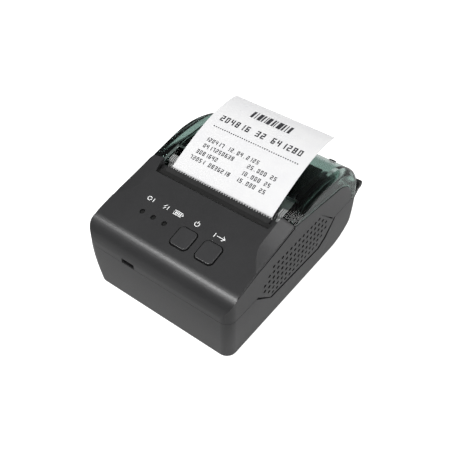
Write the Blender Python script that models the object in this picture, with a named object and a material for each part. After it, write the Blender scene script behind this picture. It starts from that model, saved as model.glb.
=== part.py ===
# Portable receipt printer: two-part case, smoked cover on a rear hinge, print mechanism and paper.
# Lengths are in metres. Pieces are laid out with Y measured back from the front face and Z up from
# the underside of the case, and one parent empty carries them to the finished origin.
import math

import bmesh
import bpy
from mathutils import Matrix, Vector

# Case shell
BODY_WIDTH = 0.0796
BODY_DEPTH = 0.1045
CASE_WALL = 0.0020
CORNER_RADIUS = 0.0050
SIDE_FLARE = 0.0013
FRONT_FLARE = 0.0017
FLARE_HEIGHT = 0.0240
FLARE_STEPS = 6
SIDE_TUCK = math.radians(2)
REAR_ROUND_DEPTH = 0.0195
REAR_ROUND_HEIGHT = 0.0220
SPLIT_HEIGHT = 0.0250
TOP_SLOPE = math.radians(13.8)
TOP_START = 0.0100
TOP_START_HEIGHT = 0.0391
FRONT_ROLL_RADIUS = 0.0110
TOP_END = 0.0456
SEAM = 0.0003
CUT_OVERRUN = 0.0020

# Shoulders beside the tear slot, where the top tilts outward
SHOULDER_START = 0.0175
SHOULDER_END = 0.0700
SHOULDER_WIDTH = 0.0070
SHOULDER_DROP = 0.0009
SHOULDER_STATION_shares = (0.0, 0.08, 0.18, 0.32, 0.46, 0.62, 0.80, 1.0)

# Side grip, a tongue of the upper case that drops into the lower case
GRIP_FRONT = 0.0191
GRIP_REAR = 0.0806
GRIP_FOOT_FRONT = 0.0287
GRIP_FOOT_FRONT_HEIGHT = 0.0163
GRIP_FOOT_REAR = 0.0680
GRIP_FOOT_HEIGHT = 0.0143
GRIP_REAR_STEP = 0.0733
GRIP_REAR_STEP_HEIGHT = 0.0175
DIMPLE_PITCH = 0.0033
DIMPLE_DIAMETER = 0.0013
DIMPLE_DEPTH = 0.0010
DIMPLE_TOP_HEIGHT = 0.0347
DIMPLE_MIDDLE = 0.0484
DIMPLE_COUNTS = (12, 14, 16, 16, 14, 12)

# Hinged cover
COVER_WALL = 0.0018
COVER_TOP = 0.0502
COVER_CREST = 0.0690
COVER_FRONT_HEIGHT = 0.0477
REAR_BULGE_share = 0.85
SLOT_REAR = 0.0565
SIDE_STRIP_WIDTH = 0.0062
RIB_THICKNESS = 0.0015
RIB_DEPTH = 0.0050
RIB_FOOT_HEIGHT = 0.0366
RIB_FOOT_REAR = 0.0555
HINGE_SETBACK = 0.0030
HINGE_HEIGHT = 0.0268
KNUCKLE_RADIUS = 0.0022
HINGE_PIN_RADIUS = 0.0011
HINGE_EAR_WIDTH = 0.0041
HINGE_EAR_INSET = 0.0002
HINGE_KNUCKLE_WIDTH = 0.0104
HINGE_EAR_DROP = 0.0095
HINGE_WRAP = math.radians(25)
KNUCKLE_LOW_WRAP = math.radians(120)
KNUCKLE_HIGH_WRAP = math.radians(60)
STOP_LENGTH = 0.0050
STOP_HEIGHT = 0.0032
STOP_THICKNESS = 0.0014
STOP_SETBACK = 0.0128
STOP_ANGLE = math.radians(38)

# Side fins of the upper case, which rise into the cover
FIN_TIP_HEIGHT = 0.0456
FIN_SHOULDER_HEIGHT = 0.0407
FIN_REAR = 0.0970
FIN_ROUND_RADIUS = 0.0158

# Platen, print head and tear bar
PLATEN_CENTRE = (0.0500, 0.0402)
PLATEN_RADIUS = 0.0040
PLATEN_SHAFT_RADIUS = 0.0015
BUSH_RADIUS = 0.0033
BUSH_LENGTH = 0.0046
BUSH_SPIGOT_RADIUS = 0.0022
HEAD_THICKNESS = 0.0007
HEAD_HEIGHT = 0.0060
HEAD_END_GAP = 0.0015
HEAD_ABOVE_LINE = 0.0021
HEAT_SINK_THICKNESS = 0.0023
SPRING_SPACE = 0.0014
SPRING_SHEET = 0.0003
SPRING_HALF_LENGTH = 0.0100
TEAR_THICKNESS = 0.0005
TEAR_BAR_DEPTH = 0.0034
TEAR_TOOTH_PITCH = 0.0016
TEAR_TOOTH_HEIGHT = 0.0009
TEAR_END_GAP = 0.0032
TEAR_TILT = math.radians(16)
TROUGH_END_GAP = 0.0006
TROUGH_START = 0.0380
TROUGH_LOW = 0.0408
TROUGH_HEIGHT = 0.0440
TROUGH_WALL = 0.0013
TEAR_EDGE_END = 0.0450

# Gear train on the left side
GEAR_MODULE = 0.0004
PLATEN_TEETH = 16
IDLER_TEETH = 24
PINION_TEETH = 12
GEAR_TIP = 0.00034
GEAR_ROOT = 0.00046
TOOTH_TIP_share = 0.21
TOOTH_ROOT_share = 0.58
GEAR_WIDTH = 0.0015
GEAR_SETBACK = 0.0041
IDLER_DIRECTION = math.radians(235)
PINION_DIRECTION = math.radians(215)
AXLE_RADIUS = 0.0010
MOTOR_RADIUS = 0.0060
MOTOR_LENGTH = 0.0175
MOTOR_SHAFT_RADIUS = 0.0009

# Mechanism frame
FRAME_PLATE = 0.0015
FRAME_SIDE_GAP = 0.0006
FRAME_FRONT = 0.0320
FRAME_REAR = 0.0560
FRAME_LEG_FRONT = 0.0480
FRAME_TOP = 0.0400
FRAME_LOW = 0.0232
BAR_THICKNESS = 0.0015
BAR_HEIGHT = 0.0042
BEAM_FRONT = 0.0500
BEAM_LOW = 0.0270
BEAM_HEIGHT = 0.0030
SENSOR_SIZE = (0.0060, 0.0036, 0.0032)

# Paper
PLATEN_OVERHANG = 0.0005
PAPER_SHEET = 0.0003
ROLL_RADIUS = 0.0185
CORE_RADIUS = 0.0065
CORE_WALL = 0.0010
STRIP_RISE_shares = (
    (0.000, 0.000), (0.014, 0.085), (0.115, 0.265), (0.265, 0.505),
    (0.420, 0.715), (0.580, 0.885), (0.740, 0.985), (0.890, 1.000), (1.000, 0.960),
)
STRIP_REACH = 0.0500
STRIP_RISE = 0.0145

# Paper bin
BIN_CENTRE_Y = 0.0780
BIN_RADIUS = 0.0200
BIN_WALL = 0.0022
BIN_PLATE = 0.0012
BIN_ARCH_RADIUS = 0.0205
BIN_FRONT_ANGLE = math.radians(168)
BIN_REAR_ANGLE = math.radians(15)
ROLL_END_GAP = 0.0007

# Boards, switches and lights
BOARD_THICKNESS = 0.0016
BOARD_FRONT = 0.0040
BOARD_REAR = 0.0312
BOARD_SIDE_GAP = 0.0073
BOARD_HEIGHT = 0.0234
PANEL_BOARD_THICKNESS = 0.0010
PANEL_BOARD_DEPTH = 0.0075
PANEL_BOARD_LENGTH = 0.0190
PANEL_BOARD_SIDE_GAP = 0.0088
PANEL_BOARD_START = 0.0075
USB_SETBACK = 0.0245
USB_WIDTH = 0.0069
USB_HEIGHT = 0.0025
USB_DEPTH = 0.0072
BUTTON_WIDTH = 0.0093
BUTTON_LENGTH = 0.0100
BUTTON_CORNER = 0.0020
BUTTON_PROUD = 0.0003
BUTTON_FLANGE = 0.0008
BUTTON_STEM_RADIUS = 0.0015
BUTTON_STEM_GAP = 0.0005
BUTTON_Y = 0.0155
POWER_BUTTON_GAP = 0.0123
BUTTON_PITCH = 0.0137
SWITCH_SIZE = 0.0060
SWITCH_HEIGHT = 0.0026
SWITCH_PLUNGER_RADIUS = 0.0016
SWITCH_PLUNGER_HEIGHT = 0.0005
LED_SETBACK = 0.0177
LED_PITCH = 0.0065
LED_COUNT = 3
LED_Y = 0.0170
LED_RADIUS = 0.0010
LED_HOLE_RADIUS = 0.0013
LED_RECESS = 0.0006

# Battery and its door
BATTERY_SIDE_GAP = 0.0133
BATTERY_FRONT = 0.0130
BATTERY_REAR = 0.0411
BATTERY_TOP = 0.0183
DOOR_THICKNESS = 0.0010
DOOR_LEDGE = 0.0020
DOOR_TRAVEL = 0.0050
DOOR_GRIP_DEPTH = 0.0004
DOOR_GRIP_PITCH = 0.0020
DOOR_GRIP_COUNT = 3
DOOR_GRIP_HALF_LENGTH = 0.0090

# Feet, bosses and screws
FOOT_RADIUS = 0.0035
FOOT_PROUD = 0.0006
FOOT_RECESS = 0.0007
FRONT_FOOT_SETBACK = 0.0078
FRONT_FOOT_Y = 0.0180
REAR_FOOT_SETBACK = 0.0123
REAR_FOOT_Y = 0.0820
BOSS_RADIUS = 0.0028
SCREW_HOLE_RADIUS = 0.0013
SCREW_RADIUS = 0.0010
SCREW_HEAD_RADIUS = 0.0021
SCREW_HEAD_HEIGHT = 0.0015
SCREW_SINK = 0.0030
SCREW_LENGTH = 0.0240
BOSS_OVERLAP = 0.0005
FRONT_SCREW_Y = 0.0075
REAR_SCREW_Y = 0.0872
UPPER_BOSS_HEIGHT = 0.0075
POST_RADIUS = 0.0014
POST_INSET = 0.0016

# Facets on round pieces
ROUND_STEPS = 24
SMALL_STEPS = 16
DIMPLE_STEPS = 6
ARC_STEPS = 6

# Places worked out from the sizes above
HALF_WIDTH = BODY_WIDTH / 2
INNER_HALF_WIDTH = HALF_WIDTH - CASE_WALL
SLOT_HALF_WIDTH = HALF_WIDTH - SIDE_STRIP_WIDTH
TROUGH_HALF_WIDTH = SLOT_HALF_WIDTH - TROUGH_END_GAP
TEAR_HALF_LENGTH = SLOT_HALF_WIDTH - TEAR_END_GAP
PLATEN_HALF_LENGTH = SLOT_HALF_WIDTH - BUSH_LENGTH
PAPER_WIDTH = 2 * (PLATEN_HALF_LENGTH - PLATEN_OVERHANG)
PAPER_HALF = PAPER_WIDTH / 2
FRAME_HALF_WIDTH = SLOT_HALF_WIDTH - FRAME_SIDE_GAP
HEAD_HALF_LENGTH = FRAME_HALF_WIDTH - FRAME_PLATE - HEAD_END_GAP
GEAR_INNER_X = HALF_WIDTH - GEAR_SETBACK
BOARD_HALF_WIDTH = INNER_HALF_WIDTH - BOARD_SIDE_GAP
PANEL_BOARD_HALF_WIDTH = INNER_HALF_WIDTH - PANEL_BOARD_SIDE_GAP
BATTERY_HALF_WIDTH = INNER_HALF_WIDTH - BATTERY_SIDE_GAP
STOP_OFFSET = HALF_WIDTH - STOP_SETBACK
USB_CENTRE_X = USB_SETBACK - HALF_WIDTH
LED_XS = [LED_SETBACK - HALF_WIDTH + LED_PITCH * place for place in range(LED_COUNT)]
POWER_BUTTON_X = LED_XS[-1] + POWER_BUTTON_GAP
FEED_BUTTON_X = POWER_BUTTON_X + BUTTON_PITCH
FRONT_FOOT = (HALF_WIDTH - FRONT_FOOT_SETBACK, FRONT_FOOT_Y)
REAR_FOOT = (HALF_WIDTH - REAR_FOOT_SETBACK, REAR_FOOT_Y)
HINGE_Y = BODY_DEPTH + HINGE_SETBACK
FRONT_MOST = -FRONT_FLARE
REAR_MOST = HINGE_Y + KNUCKLE_RADIUS
WIDEST_HALF = HALF_WIDTH + SIDE_FLARE + CUT_OVERRUN
AHEAD = FRONT_MOST - CUT_OVERRUN
BIN_CENTRE_Z = CASE_WALL + SEAM + BIN_WALL + BIN_RADIUS
ROLL_CENTRE_Z = BIN_CENTRE_Z - BIN_RADIUS + ROLL_RADIUS + SEAM
PANEL_NORMAL = Vector((0, -math.sin(TOP_SLOPE), math.cos(TOP_SLOPE)))
PANEL_ALONG = Vector((0, math.cos(TOP_SLOPE), math.sin(TOP_SLOPE)))


# Height of the sloping top at a distance back from the front face.
def top_height(y):
    return TOP_START_HEIGHT + (y - TOP_START) * math.tan(TOP_SLOPE)


# A point on the sloping top, or below it by a depth square to the slope.
def on_panel(x, y, depth=0.0):
    return Vector((x, y, top_height(y))) - PANEL_NORMAL * depth


def arc(centre, radius, start, end, steps):
    return [
        (
            centre[0] + radius * math.cos(start + (end - start) * step / steps),
            centre[1] + radius * math.sin(start + (end - start) * step / steps),
        )
        for step in range(steps + 1)
    ]


def circle(centre, radius, steps):
    return arc(centre, radius, 0, math.tau, steps)[:-1]


def rounded_rectangle(low, high, radius, steps=ARC_STEPS):
    corners = (
        ((high[0] - radius, low[1] + radius), -math.pi / 2),
        ((high[0] - radius, high[1] - radius), 0),
        ((low[0] + radius, high[1] - radius), math.pi / 2),
        ((low[0] + radius, low[1] + radius), math.pi),
    )
    points = []
    for centre, start in corners:
        points += arc(centre, radius, start, start + math.pi / 2, steps)
    return points


def make_material(name, colour, roughness, metallic=0.0):
    material = bpy.data.materials.new(name)
    material.use_nodes = True
    shader = material.node_tree.nodes["Principled BSDF"]
    shader.inputs["Base Color"].default_value = (*colour, 1.0)
    shader.inputs["Roughness"].default_value = roughness
    shader.inputs["Metallic"].default_value = metallic
    material.diffuse_color = (*colour, 1.0)
    return material


def link_mesh(name, bm, material):
    bmesh.ops.recalc_face_normals(bm, faces=bm.faces)
    mesh = bpy.data.meshes.new(name)
    bm.to_mesh(mesh)
    bm.free()
    mesh.set_sharp_from_angle(angle=math.radians(35))
    piece = bpy.data.objects.new(name, mesh)
    bpy.context.scene.collection.objects.link(piece)
    if material:
        mesh.materials.append(material)
    piece.parent = printer
    return piece


# Extrudes an outline along one axis. Its points are (y, z) along X and (x, y) along Z.
def prism(name, outline, axis, low, high, material=None):
    bm = bmesh.new()
    if axis == "X":
        corners = [Vector((low, y, z)) for y, z in outline]
        travel = Vector((high - low, 0, 0))
    else:
        corners = [Vector((x, y, low)) for x, y in outline]
        travel = Vector((0, 0, high - low))
    face = bm.faces.new([bm.verts.new(corner) for corner in corners])
    grown = bmesh.ops.extrude_face_region(bm, geom=[face])
    moved = [item for item in grown["geom"] if isinstance(item, bmesh.types.BMVert)]
    bmesh.ops.translate(bm, verts=moved, vec=travel)
    return link_mesh(name, bm, material)


def box(name, low, high, material=None):
    outline = [(low[0], low[1]), (high[0], low[1]), (high[0], high[1]), (low[0], high[1])]
    return prism(name, outline, "Z", low[2], high[2], material)


def rod(name, centre, radius, low, high, material=None, steps=ROUND_STEPS, axis="X"):
    return prism(name, circle(centre, radius, steps), axis, low, high, material)


# Extrudes a plan outline drawn on the sloping top, from one depth below it to another.
def panel_prism(name, outline, centre, shallow, deep, material=None):
    bm = bmesh.new()
    origin = on_panel(centre[0], centre[1])
    corners = [
        origin + Vector((x, 0, 0)) + PANEL_ALONG * s - PANEL_NORMAL * shallow for x, s in outline
    ]
    face = bm.faces.new([bm.verts.new(corner) for corner in corners])
    grown = bmesh.ops.extrude_face_region(bm, geom=[face])
    moved = [item for item in grown["geom"] if isinstance(item, bmesh.types.BMVert)]
    bmesh.ops.translate(bm, verts=moved, vec=PANEL_NORMAL * (shallow - deep))
    return link_mesh(name, bm, material)


def combine(target, tool, operation):
    modifier = target.modifiers.new(tool.name, "BOOLEAN")
    modifier.operation = operation
    modifier.solver = "EXACT"
    modifier.object = tool
    tool.hide_render = True
    tool.display_type = "WIRE"
    return target


def cut(target, tool):
    return combine(target, tool, "DIFFERENCE")


def join(target, tool):
    return combine(target, tool, "UNION")


def keep_inside(target, tool):
    return combine(target, tool, "INTERSECT")


# Moves a piece's origin to a point on its joint axis and leaves its shape where it is.
def set_pivot(piece, point):
    piece.data.transform(Matrix.Translation(-Vector(point)))
    piece.location = point


# How far the walls lean out at a height: a hull curve up to the split, upright or tucked in above it.
def flare_share(z):
    return math.sin(math.pi / 2 * min(max(z / FLARE_HEIGHT, 0.0), 1.0))


def side_flare(z):
    return SIDE_FLARE * flare_share(z) - max(z - FLARE_HEIGHT, 0.0) * math.tan(SIDE_TUCK)


# The case plan with rounded corners, lofted through the heights where the walls lean.
def case_plan(name, inset, front, rear, low, high):
    levels = [FLARE_HEIGHT * step / FLARE_STEPS for step in range(FLARE_STEPS + 1)]
    heights = [low] + [level for level in levels if low < level < high] + [high]
    bm = bmesh.new()
    rings = []
    for z in heights:
        half = HALF_WIDTH - inset + side_flare(z)
        start = front + inset - FRONT_FLARE * flare_share(z)
        plan = rounded_rectangle((-half, start), (half, rear), CORNER_RADIUS - inset)
        rings.append([bm.verts.new((x, y, z)) for x, y in plan])
    count = len(rings[0])
    for first, second in zip(rings, rings[1:]):
        for i in range(count):
            j = (i + 1) % count
            bm.faces.new((first[i], first[j], second[j], second[i]))
    bm.faces.new(rings[0])
    bm.faces.new(rings[-1])
    return link_mesh(name, bm, None)


# A side outline extruded across the case and trimmed to the case plan.
def case_block(name, outline, inset, front, rear, low, high, material=None):
    block = prism(name, outline, "X", -WIDEST_HALF, WIDEST_HALF, material)
    return keep_inside(block, case_plan(name + "_plan", inset, front, rear, low, high))


# The rolled front edge, from the line where it leaves the front wall to the sloping top.
def front_roll(inset, steps):
    centre_y = FRONT_MOST + FRONT_ROLL_RADIUS
    centre_z = top_height(centre_y) - FRONT_ROLL_RADIUS / math.cos(TOP_SLOPE)
    curve = arc(
        (centre_y, centre_z), FRONT_ROLL_RADIUS - inset, math.pi, math.pi / 2 + TOP_SLOPE, steps
    )
    return [(AHEAD, centre_z)] + curve


# Underside and rear round of the lower case, grown inward by an inset.
def lower_outline(inset, top):
    points = [(AHEAD, inset)]
    for step in range(2 * ARC_STEPS + 1):
        angle = math.pi / 2 * step / (2 * ARC_STEPS)
        y = BODY_DEPTH - REAR_ROUND_DEPTH + (REAR_ROUND_DEPTH - inset) * math.sin(angle)
        z = REAR_ROUND_HEIGHT - (REAR_ROUND_HEIGHT - inset) * math.cos(angle)
        points.append((y, z))
    points += [(BODY_DEPTH - inset, top), (AHEAD, top)]
    return points


# Top edge of a side fin from its front tip to the split line, raised by a clearance.
def fin_edge(clearance):
    centre = (FIN_REAR - FIN_ROUND_RADIUS, FIN_SHOULDER_HEIGHT - FIN_ROUND_RADIUS)
    radius = FIN_ROUND_RADIUS + clearance
    foot = math.asin((SPLIT_HEIGHT + 2 * SEAM - centre[1]) / radius)
    points = [(TOP_END + SEAM - clearance, FIN_TIP_HEIGHT + clearance)]
    points += arc(centre, radius, math.pi / 2, foot, 2 * ARC_STEPS)
    return points


def grip_outline(clearance, top):
    return [
        (GRIP_FRONT - clearance, top),
        (GRIP_FRONT - clearance, SPLIT_HEIGHT),
        (GRIP_FOOT_FRONT - clearance, GRIP_FOOT_FRONT_HEIGHT - clearance),
        (GRIP_FOOT_REAR + clearance, GRIP_FOOT_HEIGHT - clearance),
        (GRIP_REAR_STEP + clearance, GRIP_REAR_STEP_HEIGHT - clearance),
        (GRIP_REAR + clearance, SPLIT_HEIGHT),
        (GRIP_REAR + clearance, top),
    ]


# Outside of the cover from its front edge over the crest to the split line.
def cover_outline(inset):
    crest_run = COVER_CREST - TOP_END
    crest_rise = COVER_TOP - COVER_FRONT_HEIGHT
    front = TOP_END + SEAM
    points = []
    for step in range(ARC_STEPS + 1):
        share = step / ARC_STEPS
        height = COVER_FRONT_HEIGHT + crest_rise * math.sin(share * math.pi / 2)
        points.append((front + (crest_run - SEAM) * share, height - inset))
    depth_left = BODY_DEPTH - COVER_CREST
    drop = COVER_TOP - HINGE_HEIGHT
    for step in range(1, 2 * ARC_STEPS + 1):
        angle = math.pi / 2 * step / (2 * ARC_STEPS)
        reach = depth_left * math.sin(angle) ** REAR_BULGE_share
        fall = drop * (1 - math.cos(angle) ** REAR_BULGE_share)
        y = COVER_CREST + reach - inset * math.sin(angle)
        points.append((y, COVER_TOP - fall - inset * math.cos(angle)))
    return points


def cover_low_point():
    return SPLIT_HEIGHT + SEAM


def build_lower_case():
    top = SPLIT_HEIGHT
    piece = case_block(
        "lower_case", lower_outline(0.0, top), 0.0, 0.0, BODY_DEPTH,
        -CUT_OVERRUN, SPLIT_HEIGHT + CUT_OVERRUN, charcoal,
    )
    cavity = case_block(
        "lower_cavity", lower_outline(CASE_WALL, top + CUT_OVERRUN), CASE_WALL, 0.0,
        BODY_DEPTH - CASE_WALL, 0.0, SPLIT_HEIGHT + 2 * CUT_OVERRUN,
    )
    cut(piece, cavity)
    for side, sign in (("left", -1), ("right", 1)):
        inner, outer = sorted((sign * (INNER_HALF_WIDTH - CUT_OVERRUN), sign * WIDEST_HALF))
        window = grip_outline(SEAM, SPLIT_HEIGHT + CUT_OVERRUN)
        cut(piece, prism("grip_window_" + side, window, "X", inner, outer))
        ear_outer = HALF_WIDTH - HINGE_EAR_INSET
        low, high = sorted((sign * ear_outer, sign * (ear_outer - HINGE_EAR_WIDTH)))
        join(piece, prism("hinge_ear_" + side, ear_outline(), "X", low, high))
        bore = rod("ear_bore_" + side, (HINGE_Y, HINGE_HEIGHT), HINGE_PIN_RADIUS + SEAM,
                   low - CUT_OVERRUN, high + CUT_OVERRUN, steps=SMALL_STEPS)
        cut(piece, bore)
    for place_name, (x, y) in screw_places():
        join(piece, rod("lower_boss_" + place_name, (x, y), BOSS_RADIUS, CASE_WALL / 2,
                        SPLIT_HEIGHT, steps=SMALL_STEPS, axis="Z"))
        cut(piece, rod("screw_hole_" + place_name, (x, y), SCREW_HOLE_RADIUS, -CUT_OVERRUN,
                       SPLIT_HEIGHT + CUT_OVERRUN, steps=SMALL_STEPS, axis="Z"))
        cut(piece, rod("screw_sink_" + place_name, (x, y), SCREW_HEAD_RADIUS + SEAM, -CUT_OVERRUN,
                       SCREW_SINK, steps=SMALL_STEPS, axis="Z"))
    for place_name, (x, y) in foot_places():
        cut(piece, rod("foot_recess_" + place_name, (x, y), FOOT_RADIUS + SEAM, -CUT_OVERRUN,
                       FOOT_RECESS, steps=ROUND_STEPS, axis="Z"))
    for place_name, (x, y) in post_places():
        join(piece, rod("post_" + place_name, (x, y), POST_RADIUS, CASE_WALL / 2,
                        BOARD_HEIGHT - SEAM, steps=SMALL_STEPS // 2, axis="Z"))
    recess_half = door_half_width() + SEAM
    cut(piece, box("door_recess", (-recess_half, door_front() - SEAM - DOOR_TRAVEL, -CUT_OVERRUN),
                   (recess_half, door_rear() + SEAM, DOOR_THICKNESS + SEAM)))
    opening_half = BATTERY_HALF_WIDTH + SEAM
    cut(piece, box("battery_opening", (-opening_half, BATTERY_FRONT - SEAM, 0.0),
                   (opening_half, BATTERY_REAR + SEAM, CASE_WALL + CUT_OVERRUN)))
    return piece


def ear_outline():
    root = BODY_DEPTH - 2 * CASE_WALL
    points = [(root, HINGE_HEIGHT - HINGE_EAR_DROP), (root, SPLIT_HEIGHT - SEAM)]
    points.append((HINGE_Y - KNUCKLE_RADIUS, SPLIT_HEIGHT - SEAM))
    points += arc((HINGE_Y, HINGE_HEIGHT), KNUCKLE_RADIUS, math.pi, -HINGE_WRAP, 2 * ARC_STEPS)
    return points


def screw_places():
    places = []
    x = INNER_HALF_WIDTH + SIDE_FLARE - BOSS_RADIUS + BOSS_OVERLAP
    for end, y in (("front", FRONT_SCREW_Y), ("rear", REAR_SCREW_Y)):
        places += [(end + "_left", (-x, y)), (end + "_right", (x, y))]
    return places


def foot_places():
    places = []
    for end, (x, y) in (("front", FRONT_FOOT), ("rear", REAR_FOOT)):
        places += [(end + "_left", (-x, y)), (end + "_right", (x, y))]
    return places


def post_places():
    x = BOARD_HALF_WIDTH - POST_INSET
    ends = (("front", BOARD_FRONT + POST_INSET), ("rear", BOARD_REAR - POST_INSET))
    return [
        (end + side, (sign * x, y)) for end, y in ends for side, sign in (("_left", -1), ("_right", 1))
    ]


def door_half_width():
    return BATTERY_HALF_WIDTH + DOOR_LEDGE


def door_front():
    return BATTERY_FRONT - DOOR_LEDGE


def door_rear():
    return BATTERY_REAR + DOOR_LEDGE


# Tilts the top outward beside the tear slot. The tilt fades in along the case and out along the cover.
def shoulder_cutter(name, sign, front, rear):
    bm = bmesh.new()
    sections = []
    for share in SHOULDER_STATION_shares:
        y = front + (rear - front) * share
        if y <= TOP_END:
            fade = math.sin(math.pi / 2 * (y - SHOULDER_START) / (TOP_END - SHOULDER_START))
            width = SHOULDER_WIDTH * fade
            drop = SHOULDER_DROP * fade
            ridge = top_height(y) + SEAM * (1 - fade)
        else:
            fade = math.cos(math.pi / 2 * (y - TOP_END) / (SHOULDER_END - TOP_END))
            width = SHOULDER_WIDTH
            drop = SHOULDER_DROP * fade
            ridge = COVER_FRONT_HEIGHT + (COVER_TOP - COVER_FRONT_HEIGHT) * math.sin(
                math.pi / 2 * (y - TOP_END - SEAM) / (COVER_CREST - TOP_END - SEAM)
            )
        tilt = drop / max(width, SEAM)
        inner = HALF_WIDTH - width - CUT_OVERRUN
        start = ridge + tilt * CUT_OVERRUN
        high = start + CUT_OVERRUN
        fallen = start - tilt * (WIDEST_HALF - inner)
        section = [(inner, start), (WIDEST_HALF, fallen), (WIDEST_HALF, high), (inner, high)]
        sections.append([bm.verts.new((sign * x, y, z)) for x, z in section])
    for first, second in zip(sections, sections[1:]):
        for i in range(4):
            j = (i + 1) % 4
            bm.faces.new((first[i], first[j], second[j], second[i]))
    bm.faces.new(sections[0])
    bm.faces.new(sections[-1])
    return link_mesh(name, bm, None)


def build_upper_case():
    low = SPLIT_HEIGHT + SEAM
    outline = [(AHEAD, low)] + front_roll(0.0, 2 * ARC_STEPS)
    outline += [(TOP_END, top_height(TOP_END)), (TOP_END, FIN_TIP_HEIGHT)]
    outline += fin_edge(0.0)[1:]
    outline += [(FIN_REAR, low)] + grip_outline(0.0, low)[::-1]
    lid = COVER_TOP + CUT_OVERRUN
    piece = case_block("upper_case", outline, 0.0, 0.0, BODY_DEPTH, CASE_WALL, lid, charcoal)
    ceiling = TROUGH_HEIGHT - TROUGH_WALL
    under_top = ceiling + CASE_WALL / math.cos(TOP_SLOPE)
    ceiling_y = TOP_START + (under_top - TOP_START_HEIGHT) / math.tan(TOP_SLOPE)
    cavity = [(AHEAD, CASE_WALL)] + front_roll(CASE_WALL, 2 * ARC_STEPS)
    cavity += [(ceiling_y, ceiling), (TOP_END, ceiling)]
    cavity += [(TOP_END, lid), (BODY_DEPTH, lid), (BODY_DEPTH, CASE_WALL)]
    cut(piece, case_block(
        "upper_cavity", cavity, CASE_WALL, 0.0, BODY_DEPTH + CUT_OVERRUN, 0.0, lid + CUT_OVERRUN,
    ))
    for side, sign in (("left", -1), ("right", 1)):
        cut(piece, dimple_field("dimples_" + side, sign))
        cut(piece, shoulder_cutter("shoulder_" + side, sign, SHOULDER_START, TOP_END + SEAM))
    cut(piece, prism("trough", trough_outline(ceiling), "X", -TROUGH_HALF_WIDTH, TROUGH_HALF_WIDTH))
    through = CASE_WALL + CUT_OVERRUN
    for name, x in (("power", POWER_BUTTON_X), ("feed", FEED_BUTTON_X)):
        hole = button_outline(SEAM)
        cut(piece, panel_prism(name + "_button_hole", hole, (x, BUTTON_Y), -CUT_OVERRUN, through))
    for index, x in enumerate(LED_XS):
        hole = circle((0.0, 0.0), LED_HOLE_RADIUS, SMALL_STEPS)
        cut(piece, panel_prism("led_hole_%d" % (index + 1), hole, (x, LED_Y), -CUT_OVERRUN, through))
    half = USB_WIDTH / 2 + SEAM
    usb_low = BOARD_HEIGHT + BOARD_THICKNESS
    cut(piece, box("usb_slot", (USB_CENTRE_X - half, AHEAD, usb_low),
                   (USB_CENTRE_X + half, CASE_WALL + CUT_OVERRUN, usb_low + SEAM + USB_HEIGHT + SEAM)))
    boss_deep = PANEL_BOARD_DEPTH - SEAM
    boss = circle((0.0, 0.0), POST_RADIUS, SMALL_STEPS // 2)
    for side, x in (("left", -1), ("right", 1)):
        for end, y in panel_boss_ends():
            place = (x * (PANEL_BOARD_HALF_WIDTH - POST_INSET), y)
            label = "panel_boss_%s_%s" % (end, side)
            join(piece, panel_prism(label, boss, place, CASE_WALL / 2, boss_deep))
    for place_name, (x, y) in screw_places():
        top = low + UPPER_BOSS_HEIGHT
        if y < TOP_END:
            top = top_height(y) - CASE_WALL
        join(piece, rod("upper_boss_" + place_name, (x, y), BOSS_RADIUS, low, top,
                        steps=SMALL_STEPS, axis="Z"))
        cut(piece, rod("thread_" + place_name, (x, y), SCREW_RADIUS + SEAM, low - CUT_OVERRUN,
                       low + UPPER_BOSS_HEIGHT - CASE_WALL / 2, steps=SMALL_STEPS, axis="Z"))
    return piece


# The dip ahead of the tear bar, and the straight edge behind it that faces the paper.
def trough_outline(ceiling):
    fall = (top_height(TROUGH_START) - TROUGH_HEIGHT) / (TROUGH_LOW - TROUGH_START)
    high = COVER_TOP + CUT_OVERRUN
    start = TROUGH_START - CUT_OVERRUN
    return [
        (start, top_height(TROUGH_START) + fall * CUT_OVERRUN), (TROUGH_LOW, TROUGH_HEIGHT),
        (TEAR_EDGE_END, TROUGH_HEIGHT), (TEAR_EDGE_END, ceiling - CUT_OVERRUN),
        (TOP_END + CUT_OVERRUN, ceiling - CUT_OVERRUN), (TOP_END + CUT_OVERRUN, high), (start, high),
    ]


def panel_boss_ends():
    front = PANEL_BOARD_START + POST_INSET
    rear = PANEL_BOARD_START + PANEL_BOARD_LENGTH - 2 * POST_INSET
    return (("front", front), ("rear", rear))


def button_outline(clearance):
    half_x = BUTTON_WIDTH / 2 + clearance
    half_s = BUTTON_LENGTH / 2 + clearance
    return rounded_rectangle((-half_x, -half_s), (half_x, half_s), BUTTON_CORNER + clearance, 3)


# A field of shallow round dimples on one side, each row centred on the same upright line.
def dimple_field(name, sign):
    bm = bmesh.new()
    outer = sign * WIDEST_HALF
    for row, count in enumerate(DIMPLE_COUNTS):
        z = DIMPLE_TOP_HEIGHT - row * DIMPLE_PITCH
        inner = sign * (HALF_WIDTH + side_flare(z) - DIMPLE_DEPTH)
        for column in range(count):
            y = DIMPLE_MIDDLE + (column - (count - 1) / 2) * DIMPLE_PITCH
            ring = circle((y, z), DIMPLE_DIAMETER / 2, DIMPLE_STEPS)
            first = [bm.verts.new((inner, a, b)) for a, b in ring]
            second = [bm.verts.new((outer, a, b)) for a, b in ring]
            bm.faces.new(first)
            bm.faces.new(second)
            for i in range(DIMPLE_STEPS):
                j = (i + 1) % DIMPLE_STEPS
                bm.faces.new((first[i], first[j], second[j], second[i]))
    return link_mesh(name, bm, None)


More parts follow.
